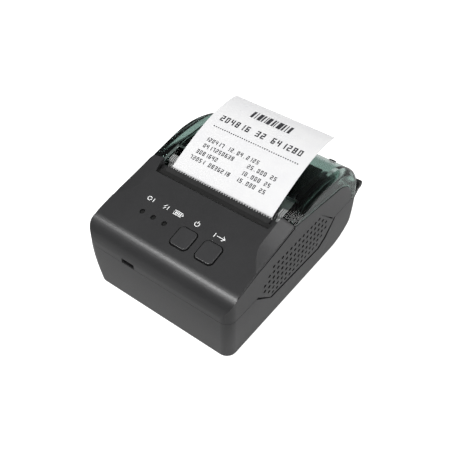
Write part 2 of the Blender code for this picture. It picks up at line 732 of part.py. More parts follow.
def build_cover():
    low = cover_low_point()
    outline = cover_outline(0.0) + [(BODY_DEPTH, low), (TOP_END + SEAM, low)]
    lid = COVER_TOP + CUT_OVERRUN
    piece = case_block("cover_shell", outline, 0.0, 0.0, BODY_DEPTH, CASE_WALL, lid, smoked)
    floor = low - CUT_OVERRUN
    front = TOP_END - CUT_OVERRUN
    inside = cover_outline(COVER_WALL)
    hollow = [(front, floor), (front, inside[0][1])] + inside + [(BODY_DEPTH - COVER_WALL, floor)]
    cut(piece, prism("cover_middle", hollow, "X", -SLOT_HALF_WIDTH, SLOT_HALF_WIDTH))
    rib_outer = SLOT_HALF_WIDTH + RIB_THICKNESS
    wall_inner = HALF_WIDTH - COVER_WALL
    deep = cover_outline(COVER_WALL + SHOULDER_DROP)
    side_hollow = [(front, floor), (front, deep[0][1])] + deep
    side_hollow += [(BODY_DEPTH - COVER_WALL - SHOULDER_DROP, floor)]
    under_rib = rib_line()
    for side, sign in (("left", -1), ("right", 1)):
        inner, outer = sorted((sign * rib_outer, sign * WIDEST_HALF))
        hollow_side = prism("cover_side_" + side, side_hollow, "X", inner, outer)
        trim = case_plan("cover_side_plan_" + side, COVER_WALL, 0.0, BODY_DEPTH, 0.0, lid)
        cut(piece, keep_inside(hollow_side, trim))
        inner, outer = sorted((sign * (SLOT_HALF_WIDTH - SEAM), sign * wall_inner))
        cut(piece, prism("rib_trim_" + side, under_rib, "X", inner, outer))
        fin_gap = [(TOP_END - CUT_OVERRUN, floor), (TOP_END - CUT_OVERRUN, FIN_TIP_HEIGHT + SEAM)]
        fin_gap += fin_edge(SEAM)[1:] + [(FIN_REAR + SEAM, floor)]
        inner, outer = sorted((sign * (wall_inner - SEAM), sign * WIDEST_HALF))
        cut(piece, prism("fin_gap_" + side, fin_gap, "X", inner, outer))
        cut(piece, shoulder_cutter("wing_" + side, sign, TOP_END + SEAM / 2, SHOULDER_END))
        knuckle_outer = HALF_WIDTH - HINGE_EAR_INSET - HINGE_EAR_WIDTH - SEAM
        low_x, high_x = sorted((sign * knuckle_outer, sign * (knuckle_outer - HINGE_KNUCKLE_WIDTH)))
        join(piece, prism("knuckle_" + side, knuckle_outline(), "X", low_x, high_x))
        bore = HINGE_PIN_RADIUS + SEAM
        cut(piece, rod("knuckle_bore_" + side, (HINGE_Y, HINGE_HEIGHT), bore,
                       low_x - CUT_OVERRUN, high_x + CUT_OVERRUN, steps=SMALL_STEPS))
        low_x, high_x = sorted((sign * (SLOT_HALF_WIDTH - CUT_OVERRUN), sign * (rib_outer + SEAM)))
        cut(piece, rod("bush_seat_" + side, PLATEN_CENTRE, BUSH_SPIGOT_RADIUS + SEAM, low_x, high_x,
                       steps=SMALL_STEPS))
    cut(piece, box("tear_slot", (-SLOT_HALF_WIDTH, front, floor), (SLOT_HALF_WIDTH, SLOT_REAR, lid)))
    set_pivot(piece, (0.0, HINGE_Y, HINGE_HEIGHT))
    return piece


# Space below the cover's two long ribs, which are deep only at the platen.
def rib_line():
    shallow = cover_outline(COVER_WALL + RIB_DEPTH)
    floor = cover_low_point() - CUT_OVERRUN
    line = [(TOP_END - CUT_OVERRUN, floor), (TOP_END - CUT_OVERRUN, RIB_FOOT_HEIGHT)]
    line += [(RIB_FOOT_REAR, RIB_FOOT_HEIGHT)]
    line += [point for point in shallow if point[0] > RIB_FOOT_REAR + RIB_DEPTH]
    line += [(shallow[-1][0], floor)]
    return line


def knuckle_outline():
    points = [(BODY_DEPTH - COVER_WALL / 2, HINGE_HEIGHT + 2 * KNUCKLE_RADIUS)]
    points.append((BODY_DEPTH - COVER_WALL / 2, HINGE_HEIGHT - KNUCKLE_RADIUS / 2))
    points += arc(
        (HINGE_Y, HINGE_HEIGHT), KNUCKLE_RADIUS, -KNUCKLE_LOW_WRAP, KNUCKLE_HIGH_WRAP, 2 * ARC_STEPS
    )
    return points


def build_hinge_pins():
    outer = HALF_WIDTH - HINGE_EAR_INSET
    inner = outer - HINGE_EAR_WIDTH - HINGE_KNUCKLE_WIDTH
    for side, sign in (("left", -1), ("right", 1)):
        low, high = sorted((sign * inner, sign * outer))
        rod("hinge_pin_" + side, (HINGE_Y, HINGE_HEIGHT), HINGE_PIN_RADIUS, low, high, steel,
            SMALL_STEPS)


# Small dark pads on the back of the cover, which meet the table when it is thrown open.
def build_cover_stops():
    reach = BODY_DEPTH - COVER_CREST
    drop = COVER_TOP - HINGE_HEIGHT
    surface = Vector((
        0.0, COVER_CREST + reach * math.cos(STOP_ANGLE) ** REAR_BULGE_share,
        COVER_TOP - drop * (1 - math.sin(STOP_ANGLE) ** REAR_BULGE_share),
    ))
    normal = Vector((0.0, drop * math.cos(STOP_ANGLE), reach * math.sin(STOP_ANGLE))).normalized()
    along = Vector((0.0, -normal.z, normal.y))
    for side, sign in (("left", -1), ("right", 1)):
        bm = bmesh.new()
        half = (STOP_LENGTH / 2, STOP_HEIGHT / 2)
        outline = rounded_rectangle((-half[0], -half[1]), half, STOP_THICKNESS / 2, 2)
        start = surface + Vector((sign * STOP_OFFSET, 0.0, 0.0)) + normal * 2 * SEAM
        corners = [start + Vector((x, 0.0, 0.0)) + along * s for x, s in outline]
        face = bm.faces.new([bm.verts.new(corner) for corner in corners])
        grown = bmesh.ops.extrude_face_region(bm, geom=[face])
        moved = [item for item in grown["geom"] if isinstance(item, bmesh.types.BMVert)]
        bmesh.ops.translate(bm, verts=moved, vec=normal * STOP_THICKNESS)
        piece = link_mesh("cover_stop_" + side, bm, black_rubber)
        set_pivot(piece, (0.0, HINGE_Y, HINGE_HEIGHT))


def tube(name, centre, outer, inner, low, high, material, steps=ROUND_STEPS):
    bm = bmesh.new()
    rings = []
    for x, radius in ((low, outer), (high, outer), (high, inner), (low, inner)):
        rings.append([bm.verts.new((x, y, z)) for y, z in circle(centre, radius, steps)])
    for first, second in zip(rings, rings[1:] + rings[:1]):
        for i in range(steps):
            j = (i + 1) % steps
            bm.faces.new((first[i], first[j], second[j], second[i]))
    return link_mesh(name, bm, material)


def build_platen():
    bore = PLATEN_SHAFT_RADIUS + SEAM
    roller = tube("platen_roller", PLATEN_CENTRE, PLATEN_RADIUS, bore, -PLATEN_HALF_LENGTH,
                  PLATEN_HALF_LENGTH, grey_rubber, ROUND_STEPS + SMALL_STEPS // 2)
    left_end = -(GEAR_INNER_X + GEAR_WIDTH)
    right_end = SLOT_HALF_WIDTH + RIB_THICKNESS
    shaft = rod("platen_shaft", PLATEN_CENTRE, PLATEN_SHAFT_RADIUS, left_end, right_end, steel,
                SMALL_STEPS)
    for side, sign in (("left", -1), ("right", 1)):
        face = PLATEN_HALF_LENGTH + SEAM
        shoulder = SLOT_HALF_WIDTH - SEAM
        low, high = sorted((sign * face, sign * shoulder))
        bush = rod("platen_bush_" + side, PLATEN_CENTRE, BUSH_RADIUS, low, high, pale_plastic)
        low, high = sorted((sign * (shoulder - SEAM), sign * (SLOT_HALF_WIDTH + RIB_THICKNESS)))
        join(bush, rod("spigot_" + side, PLATEN_CENTRE, BUSH_SPIGOT_RADIUS, low, high, steps=SMALL_STEPS))
        low, high = sorted((sign * (face - CUT_OVERRUN), sign * HALF_WIDTH))
        cut(bush, rod("bush_bore_" + side, PLATEN_CENTRE, bore, low, high, steps=SMALL_STEPS))
        set_pivot(bush, (0.0, HINGE_Y, HINGE_HEIGHT))
    for piece in (roller, shaft):
        set_pivot(piece, (0.0, *PLATEN_CENTRE))


def gear_radius(teeth):
    return GEAR_MODULE * teeth / 2


def polar(centre, radius, angle):
    return (centre[0] + radius * math.cos(angle), centre[1] + radius * math.sin(angle))


def idler_centre():
    return polar(PLATEN_CENTRE, gear_radius(PLATEN_TEETH) + gear_radius(IDLER_TEETH), IDLER_DIRECTION)


def pinion_centre():
    return polar(idler_centre(), gear_radius(IDLER_TEETH) + gear_radius(PINION_TEETH), PINION_DIRECTION)


# A spur gear whose first tooth points along an angle.
def gear(name, centre, teeth, first_tooth, bore, material):
    tip = gear_radius(teeth) + GEAR_TIP
    root = gear_radius(teeth) - GEAR_ROOT
    pitch = math.tau / teeth
    flanks = (
        (root, -TOOTH_ROOT_share), (tip, -TOOTH_TIP_share), (tip, TOOTH_TIP_share), (root, TOOTH_ROOT_share)
    )
    outline = []
    for index in range(teeth):
        middle = first_tooth + index * pitch
        for radius, share in flanks:
            outline.append(polar(centre, radius, middle + pitch / 2 * share))
    low = -(GEAR_INNER_X + GEAR_WIDTH)
    piece = prism(name, outline, "X", low, -GEAR_INNER_X, material)
    cut(piece, rod(name + "_bore", centre, bore + SEAM, low - CUT_OVERRUN, -GEAR_INNER_X + CUT_OVERRUN,
                   steps=SMALL_STEPS))
    set_pivot(piece, (0.0, *centre))
    return piece


def build_gears():
    idler = idler_centre()
    pinion = pinion_centre()
    idler_pitch = math.tau / IDLER_TEETH
    facing_platen = IDLER_DIRECTION - math.pi
    gear("platen_gear", PLATEN_CENTRE, PLATEN_TEETH, IDLER_DIRECTION, PLATEN_SHAFT_RADIUS, white_plastic)
    gear("idler_gear", idler, IDLER_TEETH, facing_platen + idler_pitch / 2, AXLE_RADIUS, white_plastic)
    steps_round = (PINION_DIRECTION - facing_platen) / idler_pitch - 1 / 2
    lag = (steps_round - round(steps_round)) * idler_pitch * IDLER_TEETH / PINION_TEETH
    pinion_first = PINION_DIRECTION - math.pi + math.pi / PINION_TEETH + lag
    gear("motor_pinion", pinion, PINION_TEETH, pinion_first, MOTOR_SHAFT_RADIUS, brass)
    axle_start = -(GEAR_INNER_X + GEAR_WIDTH)
    rod("idler_axle", idler, AXLE_RADIUS, axle_start, -(FRAME_HALF_WIDTH - FRAME_PLATE), steel, SMALL_STEPS)


def build_motor():
    centre = pinion_centre()
    face = -(FRAME_HALF_WIDTH - FRAME_PLATE - SEAM)
    motor = rod("stepper_motor", centre, MOTOR_RADIUS, face, face + MOTOR_LENGTH, steel)
    join(motor, rod("motor_shaft", centre, MOTOR_SHAFT_RADIUS, -(GEAR_INNER_X + GEAR_WIDTH),
                    face + CUT_OVERRUN, steps=SMALL_STEPS))


def build_frame():
    notch = BUSH_RADIUS + SEAM
    low = CASE_WALL + SEAM
    cy, cz = PLATEN_CENTRE
    outline = [(FRAME_LEG_FRONT, low), (FRAME_REAR, low), (FRAME_REAR, FRAME_TOP)]
    outline += [(cy + notch + SEAM, FRAME_TOP)]
    dip = math.asin((cz - FRAME_TOP) / notch)
    outline += arc((cy, cz), notch, -dip, -math.pi + dip, 2 * ARC_STEPS)
    outline += [(FRAME_FRONT + BAR_HEIGHT, FRAME_TOP), (FRAME_FRONT, FRAME_TOP - BAR_HEIGHT)]
    outline += [(FRAME_FRONT, FRAME_LOW), (FRAME_LEG_FRONT, FRAME_LOW)]
    piece = prism("mechanism_frame", outline, "X", -FRAME_HALF_WIDTH, FRAME_HALF_WIDTH, black_plastic)
    half = FRAME_HALF_WIDTH - FRAME_PLATE
    front = FRAME_FRONT - CUT_OVERRUN
    rear = FRAME_REAR + CUT_OVERRUN
    bar_front, bar_low = spring_bar()
    high = FRAME_TOP + CUT_OVERRUN
    beam_top = BEAM_LOW + BEAM_HEIGHT
    spaces = (
        ("ahead_of_bar", front, bar_front, low - CUT_OVERRUN, high),
        ("under_bar", bar_front - SEAM, BEAM_FRONT, low - CUT_OVERRUN, bar_low),
        ("behind_bar", bar_front + BAR_THICKNESS, BEAM_FRONT, bar_low - SEAM, high),
        ("over_beam", BEAM_FRONT - SEAM, rear, beam_top, high),
        ("under_beam", BEAM_FRONT - SEAM, rear, low - CUT_OVERRUN, BEAM_LOW),
    )
    for name, y0, y1, z0, z1 in spaces:
        cut(piece, box(name, (-half, y0, z0), (half, y1, z1)))
    axle_centre = idler_centre()
    shaft_centre = pinion_centre()
    holes = (("axle_seat", axle_centre, AXLE_RADIUS), ("shaft_hole", shaft_centre, MOTOR_SHAFT_RADIUS))
    for name, centre, radius in holes:
        cut(piece, rod(name, centre, radius + SEAM, -FRAME_HALF_WIDTH - CUT_OVERRUN,
                       -half + CUT_OVERRUN, steps=SMALL_STEPS))
    sensor_x, sensor_y, sensor_z = SENSOR_SIZE
    sensor_front = (BEAM_FRONT + FRAME_REAR - sensor_y) / 2
    box("paper_sensor", (-sensor_x / 2, sensor_front, beam_top + SEAM),
        (sensor_x / 2, sensor_front + sensor_y, beam_top + SEAM + sensor_z), black_plastic)
    return piece


# Faces of the stack that presses on the platen, from the paper forward.
def head_face():
    return PLATEN_CENTRE[0] - PLATEN_RADIUS - PAPER_SHEET - 3 * SEAM


def spring_bar():
    stack = HEAD_THICKNESS + HEAT_SINK_THICKNESS + SPRING_SPACE + 3 * SEAM + BAR_THICKNESS
    return head_face() - stack, FRAME_TOP - BAR_HEIGHT + SEAM


def build_head():
    top = PLATEN_CENTRE[1] + HEAD_ABOVE_LINE
    low = top - HEAD_HEIGHT
    face = head_face()
    box("print_head", (-HEAD_HALF_LENGTH, face - HEAD_THICKNESS, low), (HEAD_HALF_LENGTH, face, top),
        ceramic)
    sink_rear = face - HEAD_THICKNESS - SEAM
    sink_half = FRAME_HALF_WIDTH - FRAME_PLATE - SEAM
    box("heat_sink", (-sink_half, sink_rear - HEAT_SINK_THICKNESS, low), (sink_half, sink_rear, top),
        aluminium)
    rear = sink_rear - HEAT_SINK_THICKNESS - SEAM
    front = rear - SPRING_SPACE
    crown = rear - SPRING_SHEET
    outline = [(front, low + SEAM), (crown, low + HEAD_HEIGHT / 2), (front, FRAME_TOP - SEAM)]
    outline += [(y + SPRING_SHEET, z) for y, z in reversed(outline)]
    prism("head_spring", outline, "X", -SPRING_HALF_LENGTH, SPRING_HALF_LENGTH, steel)


def build_tear_bar():
    bm = bmesh.new()
    count = 2 * int(TEAR_HALF_LENGTH / TEAR_TOOTH_PITCH)
    start = -count * TEAR_TOOTH_PITCH / 2
    outline = [(start, -TEAR_BAR_DEPTH)]
    for index in range(count):
        outline.append((start + index * TEAR_TOOTH_PITCH, -TEAR_TOOTH_HEIGHT))
        outline.append((start + (index + 1 / 2) * TEAR_TOOTH_PITCH, 0.0))
    outline += [(-start, -TEAR_TOOTH_HEIGHT), (-start, -TEAR_BAR_DEPTH)]
    along = Vector((0.0, math.cos(TEAR_TILT), math.sin(TEAR_TILT)))
    normal = Vector((0.0, -math.sin(TEAR_TILT), math.cos(TEAR_TILT)))
    tip = Vector((0.0, head_face(), TROUGH_HEIGHT + SEAM))
    tip.z += TEAR_BAR_DEPTH * math.sin(TEAR_TILT)
    corners = [tip + Vector((x, 0.0, 0.0)) + along * s for x, s in outline]
    face = bm.faces.new([bm.verts.new(corner) for corner in corners])
    grown = bmesh.ops.extrude_face_region(bm, geom=[face])
    moved = [item for item in grown["geom"] if isinstance(item, bmesh.types.BMVert)]
    bmesh.ops.translate(bm, verts=moved, vec=normal * TEAR_THICKNESS)
    link_mesh("tear_bar", bm, black_plastic)


# A sheet of paper of even thickness that follows a centre line of (y, z) points.
def ribbon(name, line, half_width, thickness, material):
    upper = []
    lower = []
    for index, point in enumerate(line):
        before = Vector(line[max(index - 1, 0)])
        after = Vector(line[min(index + 1, len(line) - 1)])
        direction = (after - before).normalized()
        side = Vector((-direction.y, direction.x)) * thickness / 2
        upper.append(tuple(Vector(point) + side))
        lower.append(tuple(Vector(point) - side))
    return prism(name, upper + lower[::-1], "X", -half_width, half_width, material)


def build_paper():
    cy, cz = PLATEN_CENTRE
    wrap = PLATEN_RADIUS + SEAM + PAPER_SHEET / 2
    tear_y = cy - wrap
    tear_z = TROUGH_HEIGHT - SEAM
    roll = (BIN_CENTRE_Y, ROLL_CENTRE_Z)
    reach = ROLL_RADIUS + SEAM + PAPER_SHEET / 2
    span = Vector((roll[0] - cy, roll[1] - cz))
    heading = math.atan2(span.y, span.x)
    tilt = math.asin((reach + wrap) / span.length)
    leave = heading + tilt - math.pi / 2
    off_roll = polar(roll, reach, leave + math.pi)
    line = [off_roll]
    line += arc((cy, cz), wrap, leave, -math.pi, ARC_STEPS + 2)
    line += [(tear_y, tear_z)]
    ribbon("paper_web", line, PAPER_HALF, PAPER_SHEET, paper)
    strip = []
    for run, rise in STRIP_RISE_shares:
        strip.append((tear_y + run * STRIP_REACH, tear_z + SEAM + rise * STRIP_RISE))
    piece = ribbon("paper_strip", strip, PAPER_HALF, PAPER_SHEET, paper)
    set_pivot(piece, (0.0, HINGE_Y, HINGE_HEIGHT))
    rings = ROUND_STEPS + SMALL_STEPS
    bore = CORE_RADIUS + SEAM
    body = tube("paper_roll", roll, ROLL_RADIUS, bore, -PAPER_HALF, PAPER_HALF, paper, rings)
    tunnel = CORE_RADIUS - CORE_WALL
    core = tube("roll_core", roll, CORE_RADIUS, tunnel, -PAPER_HALF, PAPER_HALF, card)
    for part in (body, core):
        set_pivot(part, (0.0, *roll))


def build_bin():
    centre = (BIN_CENTRE_Y, BIN_CENTRE_Z)
    inner = PAPER_HALF + ROLL_END_GAP
    outer = inner + BIN_PLATE
    bottom_turn = math.tau + BIN_REAR_ANGLE
    shell = arc(centre, BIN_RADIUS + BIN_WALL, BIN_FRONT_ANGLE, bottom_turn, ROUND_STEPS)
    arch = arc(centre, BIN_ARCH_RADIUS, BIN_REAR_ANGLE, BIN_FRONT_ANGLE, ROUND_STEPS // 2)
    piece = prism("paper_bin", shell + arch, "X", -outer, outer, black_plastic)
    high = centre[1] + BIN_RADIUS + BIN_WALL + CUT_OVERRUN
    hollow = arc(centre, BIN_RADIUS, BIN_FRONT_ANGLE, bottom_turn, ROUND_STEPS)
    hollow += [(centre[0] + BIN_RADIUS + BIN_WALL, high), (centre[0] - BIN_RADIUS - BIN_WALL, high)]
    lip_height = centre[1] + BIN_RADIUS * math.sin(BIN_FRONT_ANGLE)
    hollow += [(centre[0] - BIN_RADIUS - BIN_WALL, lip_height)]
    cut(piece, prism("bin_hollow", hollow, "X", -inner, inner))
    return piece


def build_boards():
    top = BOARD_HEIGHT + BOARD_THICKNESS
    box("main_board", (-BOARD_HALF_WIDTH, BOARD_FRONT, BOARD_HEIGHT),
        (BOARD_HALF_WIDTH, BOARD_REAR, top), board_green)
    usb_half = USB_WIDTH / 2
    usb_low = top + SEAM
    mouth = FRONT_MOST + SEAM
    socket = box("usb_socket", (USB_CENTRE_X - usb_half, mouth, usb_low),
                 (USB_CENTRE_X + usb_half, mouth + USB_DEPTH, usb_low + USB_HEIGHT), steel)
    rim = SEAM
    cut(socket, box("usb_mouth", (USB_CENTRE_X - usb_half + rim, AHEAD, usb_low + rim),
                    (USB_CENTRE_X + usb_half - rim, mouth + USB_DEPTH - rim,
                     usb_low + USB_HEIGHT - rim)))
    half = PANEL_BOARD_HALF_WIDTH
    plan = [(-half, 0.0), (half, 0.0), (half, PANEL_BOARD_LENGTH), (-half, PANEL_BOARD_LENGTH)]
    panel_prism("button_board", plan, (0.0, PANEL_BOARD_START), PANEL_BOARD_DEPTH,
                PANEL_BOARD_DEPTH + PANEL_BOARD_THICKNESS, board_green)
    for name, x in (("power", POWER_BUTTON_X), ("feed", FEED_BUTTON_X)):
        build_button(name, x)
    for label, x in zip(("power", "charge", "error"), LED_XS):
        lens = circle((0.0, 0.0), LED_RADIUS, SMALL_STEPS)
        foot = PANEL_BOARD_DEPTH - SEAM
        panel_prism("led_lens_" + label, lens, (x, LED_Y), LED_RECESS, foot, clear_lens)


def build_button(name, x):
    place = (x, BUTTON_Y)
    cap_deep = CASE_WALL + SEAM + BUTTON_FLANGE
    foot = PANEL_BOARD_DEPTH - SEAM
    top = foot - SWITCH_HEIGHT
    stem_end = top - SWITCH_PLUNGER_HEIGHT - BUTTON_STEM_GAP
    piece = panel_prism(name + "_button", button_outline(0.0), place, -BUTTON_PROUD, cap_deep, charcoal)
    flange = button_outline(2 * SEAM + BUTTON_FLANGE / 2)
    join(piece, panel_prism(name + "_flange", flange, place, CASE_WALL + SEAM, cap_deep - SEAM / 3))
    stem = circle((0.0, 0.0), BUTTON_STEM_RADIUS, SMALL_STEPS)
    join(piece, panel_prism(name + "_stem", stem, place, cap_deep - SEAM, stem_end))
    set_pivot(piece, on_panel(x, BUTTON_Y))
    half = SWITCH_SIZE / 2
    square = [(-half, -half), (half, -half), (half, half), (-half, half)]
    switch = panel_prism(name + "_switch", square, place, top, foot, black_plastic)
    plunger = circle((0.0, 0.0), SWITCH_PLUNGER_RADIUS, SMALL_STEPS)
    join(switch, panel_prism(name + "_plunger", plunger, place, top - SWITCH_PLUNGER_HEIGHT, top + SEAM))


def build_battery():
    low = DOOR_THICKNESS + SEAM
    box("battery_pack", (-BATTERY_HALF_WIDTH, BATTERY_FRONT, low),
        (BATTERY_HALF_WIDTH, BATTERY_REAR, BATTERY_TOP), battery_blue)
    half = door_half_width()
    door = box("battery_door", (-half, door_front(), 0.0), (half, door_rear(), DOOR_THICKNESS), charcoal)
    for index in range(DOOR_GRIP_COUNT):
        y = door_front() + DOOR_LEDGE + index * DOOR_GRIP_PITCH
        cut(door, box("door_grip_%d" % (index + 1), (-DOOR_GRIP_HALF_LENGTH, y, -CUT_OVERRUN),
                      (DOOR_GRIP_HALF_LENGTH, y + DOOR_GRIP_PITCH / 2, DOOR_GRIP_DEPTH)))
    set_pivot(door, (0.0, door_front(), 0.0))


def build_screws_and_feet():
    for name, (x, y) in screw_places():
        head_low = SCREW_SINK - SEAM - SCREW_HEAD_HEIGHT
        screw = rod("case_screw_" + name, (x, y), SCREW_HEAD_RADIUS, head_low, SCREW_SINK - SEAM, steel,
                    SMALL_STEPS, "Z")
        join(screw, rod("shank_" + name, (x, y), SCREW_RADIUS, SCREW_SINK - 2 * SEAM,
                        SCREW_SINK + SCREW_LENGTH, steps=SMALL_STEPS, axis="Z"))
    for name, (x, y) in foot_places():
        rod("foot_" + name, (x, y), FOOT_RADIUS, -FOOT_PROUD, FOOT_RECESS - SEAM, black_rubber,
            ROUND_STEPS, "Z")


for old in list(bpy.data.objects):
    bpy.data.objects.remove(old, do_unlink=True)

printer = bpy.data.objects.new("printer", None)
printer.location = (0.0, -(FRONT_MOST + REAR_MOST) / 2, FOOT_PROUD)
bpy.context.scene.collection.objects.link(printer)

charcoal = make_material("charcoal plastic", (0.060, 0.060, 0.062), 0.55)
black_plastic = make_material("black plastic", (0.012, 0.012, 0.013), 0.45)
smoked = make_material("smoked clear plastic", (0.160, 0.250, 0.220), 0.10)
black_rubber = make_material("black rubber", (0.010, 0.010, 0.010), 0.80)
grey_rubber = make_material("grey rubber", (0.300, 0.300, 0.300), 0.75)
steel = make_material("steel", (0.560, 0.570, 0.580), 0.30, 1.0)
aluminium = make_material("aluminium", (0.800, 0.800, 0.810), 0.35, 1.0)
brass = make_material("brass", (0.780, 0.570, 0.280), 0.30, 1.0)
ceramic = make_material("head ceramic", (0.780, 0.770, 0.740), 0.25)
pale_plastic = make_material("pale bearing plastic", (0.550, 0.550, 0.540), 0.40)
white_plastic = make_material("white gear plastic", (0.850, 0.850, 0.820), 0.40)
clear_lens = make_material("lens plastic", (0.030, 0.030, 0.030), 0.20)
paper = make_material("thermal paper", (0.900, 0.900, 0.890), 0.60)
card = make_material("roll card", (0.480, 0.370, 0.250), 0.85)
board_green = make_material("circuit board", (0.020, 0.160, 0.070), 0.40)
battery_blue = make_material("battery wrap", (0.050, 0.120, 0.300), 0.40)

build_lower_case()
build_upper_case()
build_cover()
build_hinge_pins()
build_cover_stops()
build_platen()
build_gears()
build_motor()
build_frame()
build_head()
build_tear_bar()
build_paper()
build_bin()
build_boards()
build_battery()
build_screws_and_feet()
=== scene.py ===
import math

import bmesh
import bpy
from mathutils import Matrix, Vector


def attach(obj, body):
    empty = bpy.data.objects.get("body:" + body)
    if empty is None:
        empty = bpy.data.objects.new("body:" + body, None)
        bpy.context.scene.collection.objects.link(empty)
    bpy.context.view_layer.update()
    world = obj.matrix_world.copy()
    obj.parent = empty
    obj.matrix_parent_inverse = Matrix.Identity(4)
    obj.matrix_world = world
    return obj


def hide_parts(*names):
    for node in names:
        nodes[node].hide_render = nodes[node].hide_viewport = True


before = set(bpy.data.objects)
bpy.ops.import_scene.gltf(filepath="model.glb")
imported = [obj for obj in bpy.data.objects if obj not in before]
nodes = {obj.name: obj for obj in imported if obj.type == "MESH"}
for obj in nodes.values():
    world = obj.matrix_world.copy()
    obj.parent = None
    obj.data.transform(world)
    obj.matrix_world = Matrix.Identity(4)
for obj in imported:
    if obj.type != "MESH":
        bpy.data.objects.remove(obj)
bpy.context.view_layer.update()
print("frame loaded with", len(nodes), "nodes")

# Pieces are drawn in the case's own frame: y back from the front face, z up from the underside
caseShift = Vector((0.0, -0.0540, 0.0006))
leftRight = (("left", -1), ("right", 1))

# Up to flareHeight the walls lean out by sideFlare and frontFlare; above it the sides lean back in
case = {
    "halfWidth": 0.0398, "depth": 0.1045, "wall": 0.0020, "corner": 0.0050,
    "sideFlare": 0.0013, "frontFlare": 0.0017, "flareHeight": 0.0240, "sideTuck": math.radians(2),
    "rearRoundDepth": 0.0195, "rearRoundHeight": 0.0220, "rollRadius": 0.0110,
    "split": 0.0250, "seam": 0.0003, "partingGap": 0.00015,
    "topSlope": math.radians(13.8), "topStart": 0.0100, "topStartHeight": 0.0391, "topEnd": 0.0456,
    "cornerSteps": 10, "flareSteps": 10, "curveSteps": 28, "holeSteps": 24,
}
halfWidth, caseDepth, wall = case["halfWidth"], case["depth"], case["wall"]
topEnd, split, seam = case["topEnd"], case["split"], case["seam"]

# How far a cutter reaches past what it cuts, and what counts as one point, a sliver or a flat edge
over = 0.0020
mending = {"weld": 0.000004, "sliver": 0.00003, "flat": math.radians(0.1), "leastCrease": math.radians(1)}

panelNormal = Vector((0, -math.sin(case["topSlope"]), math.cos(case["topSlope"])))
panelAlong = Vector((0, math.cos(case["topSlope"]), math.sin(case["topSlope"])))
innerHalf = halfWidth - wall
widestHalf = halfWidth + case["sideFlare"] + over
ahead = -case["frontFlare"] - over


def topHeight(y):
    return case["topStartHeight"] + (y - case["topStart"]) * math.tan(case["topSlope"])


def onPanel(x, y):
    return Vector((x, y, topHeight(y)))


def between(first, second, share):
    return first + (second - first) * share


# A quarter wave from 0 to 1
def eased(share):
    return math.sin(math.pi / 2 * min(max(share, 0.0), 1.0))


def arcPoints(centre, radius, start, end, steps):
    angles = [start + (end - start) * step / steps for step in range(steps + 1)]
    return [(centre[0] + radius * math.cos(angle), centre[1] + radius * math.sin(angle)) for angle in angles]


def circlePoints(centre, radius, steps):
    return arcPoints(centre, radius, 0, math.tau, steps)[:-1]


def roundedRectangle(low, high, radius, steps):
    corners = (
        ((high[0] - radius, low[1] + radius), -math.pi / 2),
        ((high[0] - radius, high[1] - radius), 0),
        ((low[0] + radius, high[1] - radius), math.pi / 2),
        ((low[0] + radius, low[1] + radius), math.pi),
    )
    points = []
    for centre, start in corners:
        points += arcPoints(centre, radius, start, start + math.pi / 2, steps)
    return points


def centredRectangle(halfX, halfY, radius, steps):
    return roundedRectangle((-halfX, -halfY), (halfX, halfY), radius, steps)


# The direction that a line of points takes at one of them
def directionAt(points, index, closed=False):
    if closed:
        before, after = points[index - 1], points[(index + 1) % len(points)]
    else:
        before, after = points[max(index - 1, 0)], points[min(index + 1, len(points) - 1)]
    return (Vector(after) - Vector(before)).normalized()


# Lays flat points across an axis, at a distance along it
def ringAt(axis, points, along):
    if axis == "X":
        return [Vector((along, a, b)) for a, b in points]
    if axis == "Y":
        return [Vector((a, along, b)) for a, b in points]
    return [Vector((a, b, along)) for a, b in points]


def addMesh(name, bm):
    bmesh.ops.recalc_face_normals(bm, faces=bm.faces)
    bmesh.ops.translate(bm, verts=bm.verts, vec=caseShift)
    mesh = bpy.data.meshes.new(name)
    bm.to_mesh(mesh)
    bm.free()
    piece = bpy.data.objects.new(name, mesh)
    bpy.context.scene.collection.objects.link(piece)
    return piece


# Skins a row of rings that have the same number of points, and closes both ends unless it is a loop
def skinRings(bm, rings, closed=False):
    made = [[bm.verts.new(point) for point in ring] for ring in rings]
    pairs = list(zip(made, made[1:]))
    if closed:
        pairs.append((made[-1], made[0]))
    for first, second in pairs:
        for i in range(len(first)):
            j = (i + 1) % len(first)
            bm.faces.new((first[i], first[j], second[j], second[i]))
    if not closed:
        bm.faces.new(made[0])
        bm.faces.new(made[-1])


def ringsMesh(name, rings):
    bm = bmesh.new()
    skinRings(bm, rings)
    return addMesh(name, bm)


def prism(name, outline, axis, low, high):
    return ringsMesh(name, [ringAt(axis, outline, along) for along in (low, high)])


# A prism across one side, between two distances from the middle
def sidePrism(name, outline, sign, near, far):
    return prism(name, outline, "X", *sorted((sign * near, sign * far)))


def boxBetween(name, low, high):
    outline = [(low[0], low[1]), (high[0], low[1]), (high[0], high[1]), (low[0], high[1])]
    return prism(name, outline, "Z", low[2], high[2])


def rod(name, centre, radius, low, high, axis="X", steps=case["holeSteps"]):
    return prism(name, circlePoints(centre, radius, steps), axis, low, high)


def sideRod(name, centre, radius, sign, near, far):
    return sidePrism(name, circlePoints(centre, radius, case["holeSteps"]), sign, near, far)


# Outlines on the sloping top, each at its own depth below it
def panelRings(outlines, centre, depths):
    origin = onPanel(*centre)
    rings = []
    for outline, depth in zip(outlines, depths):
        rings.append([origin + Vector((x, 0, 0)) + panelAlong * s - panelNormal * depth for x, s in outline])
    return rings


# A turned shape about an axis along X or Z; the profile gives (distance along the axis, radius)
def turned(name, centre, profile, axis, steps=2 * case["holeSteps"]):
    return ringsMesh(name, [ringAt(axis, circlePoints(centre, r, steps), along) for along, r in profile])


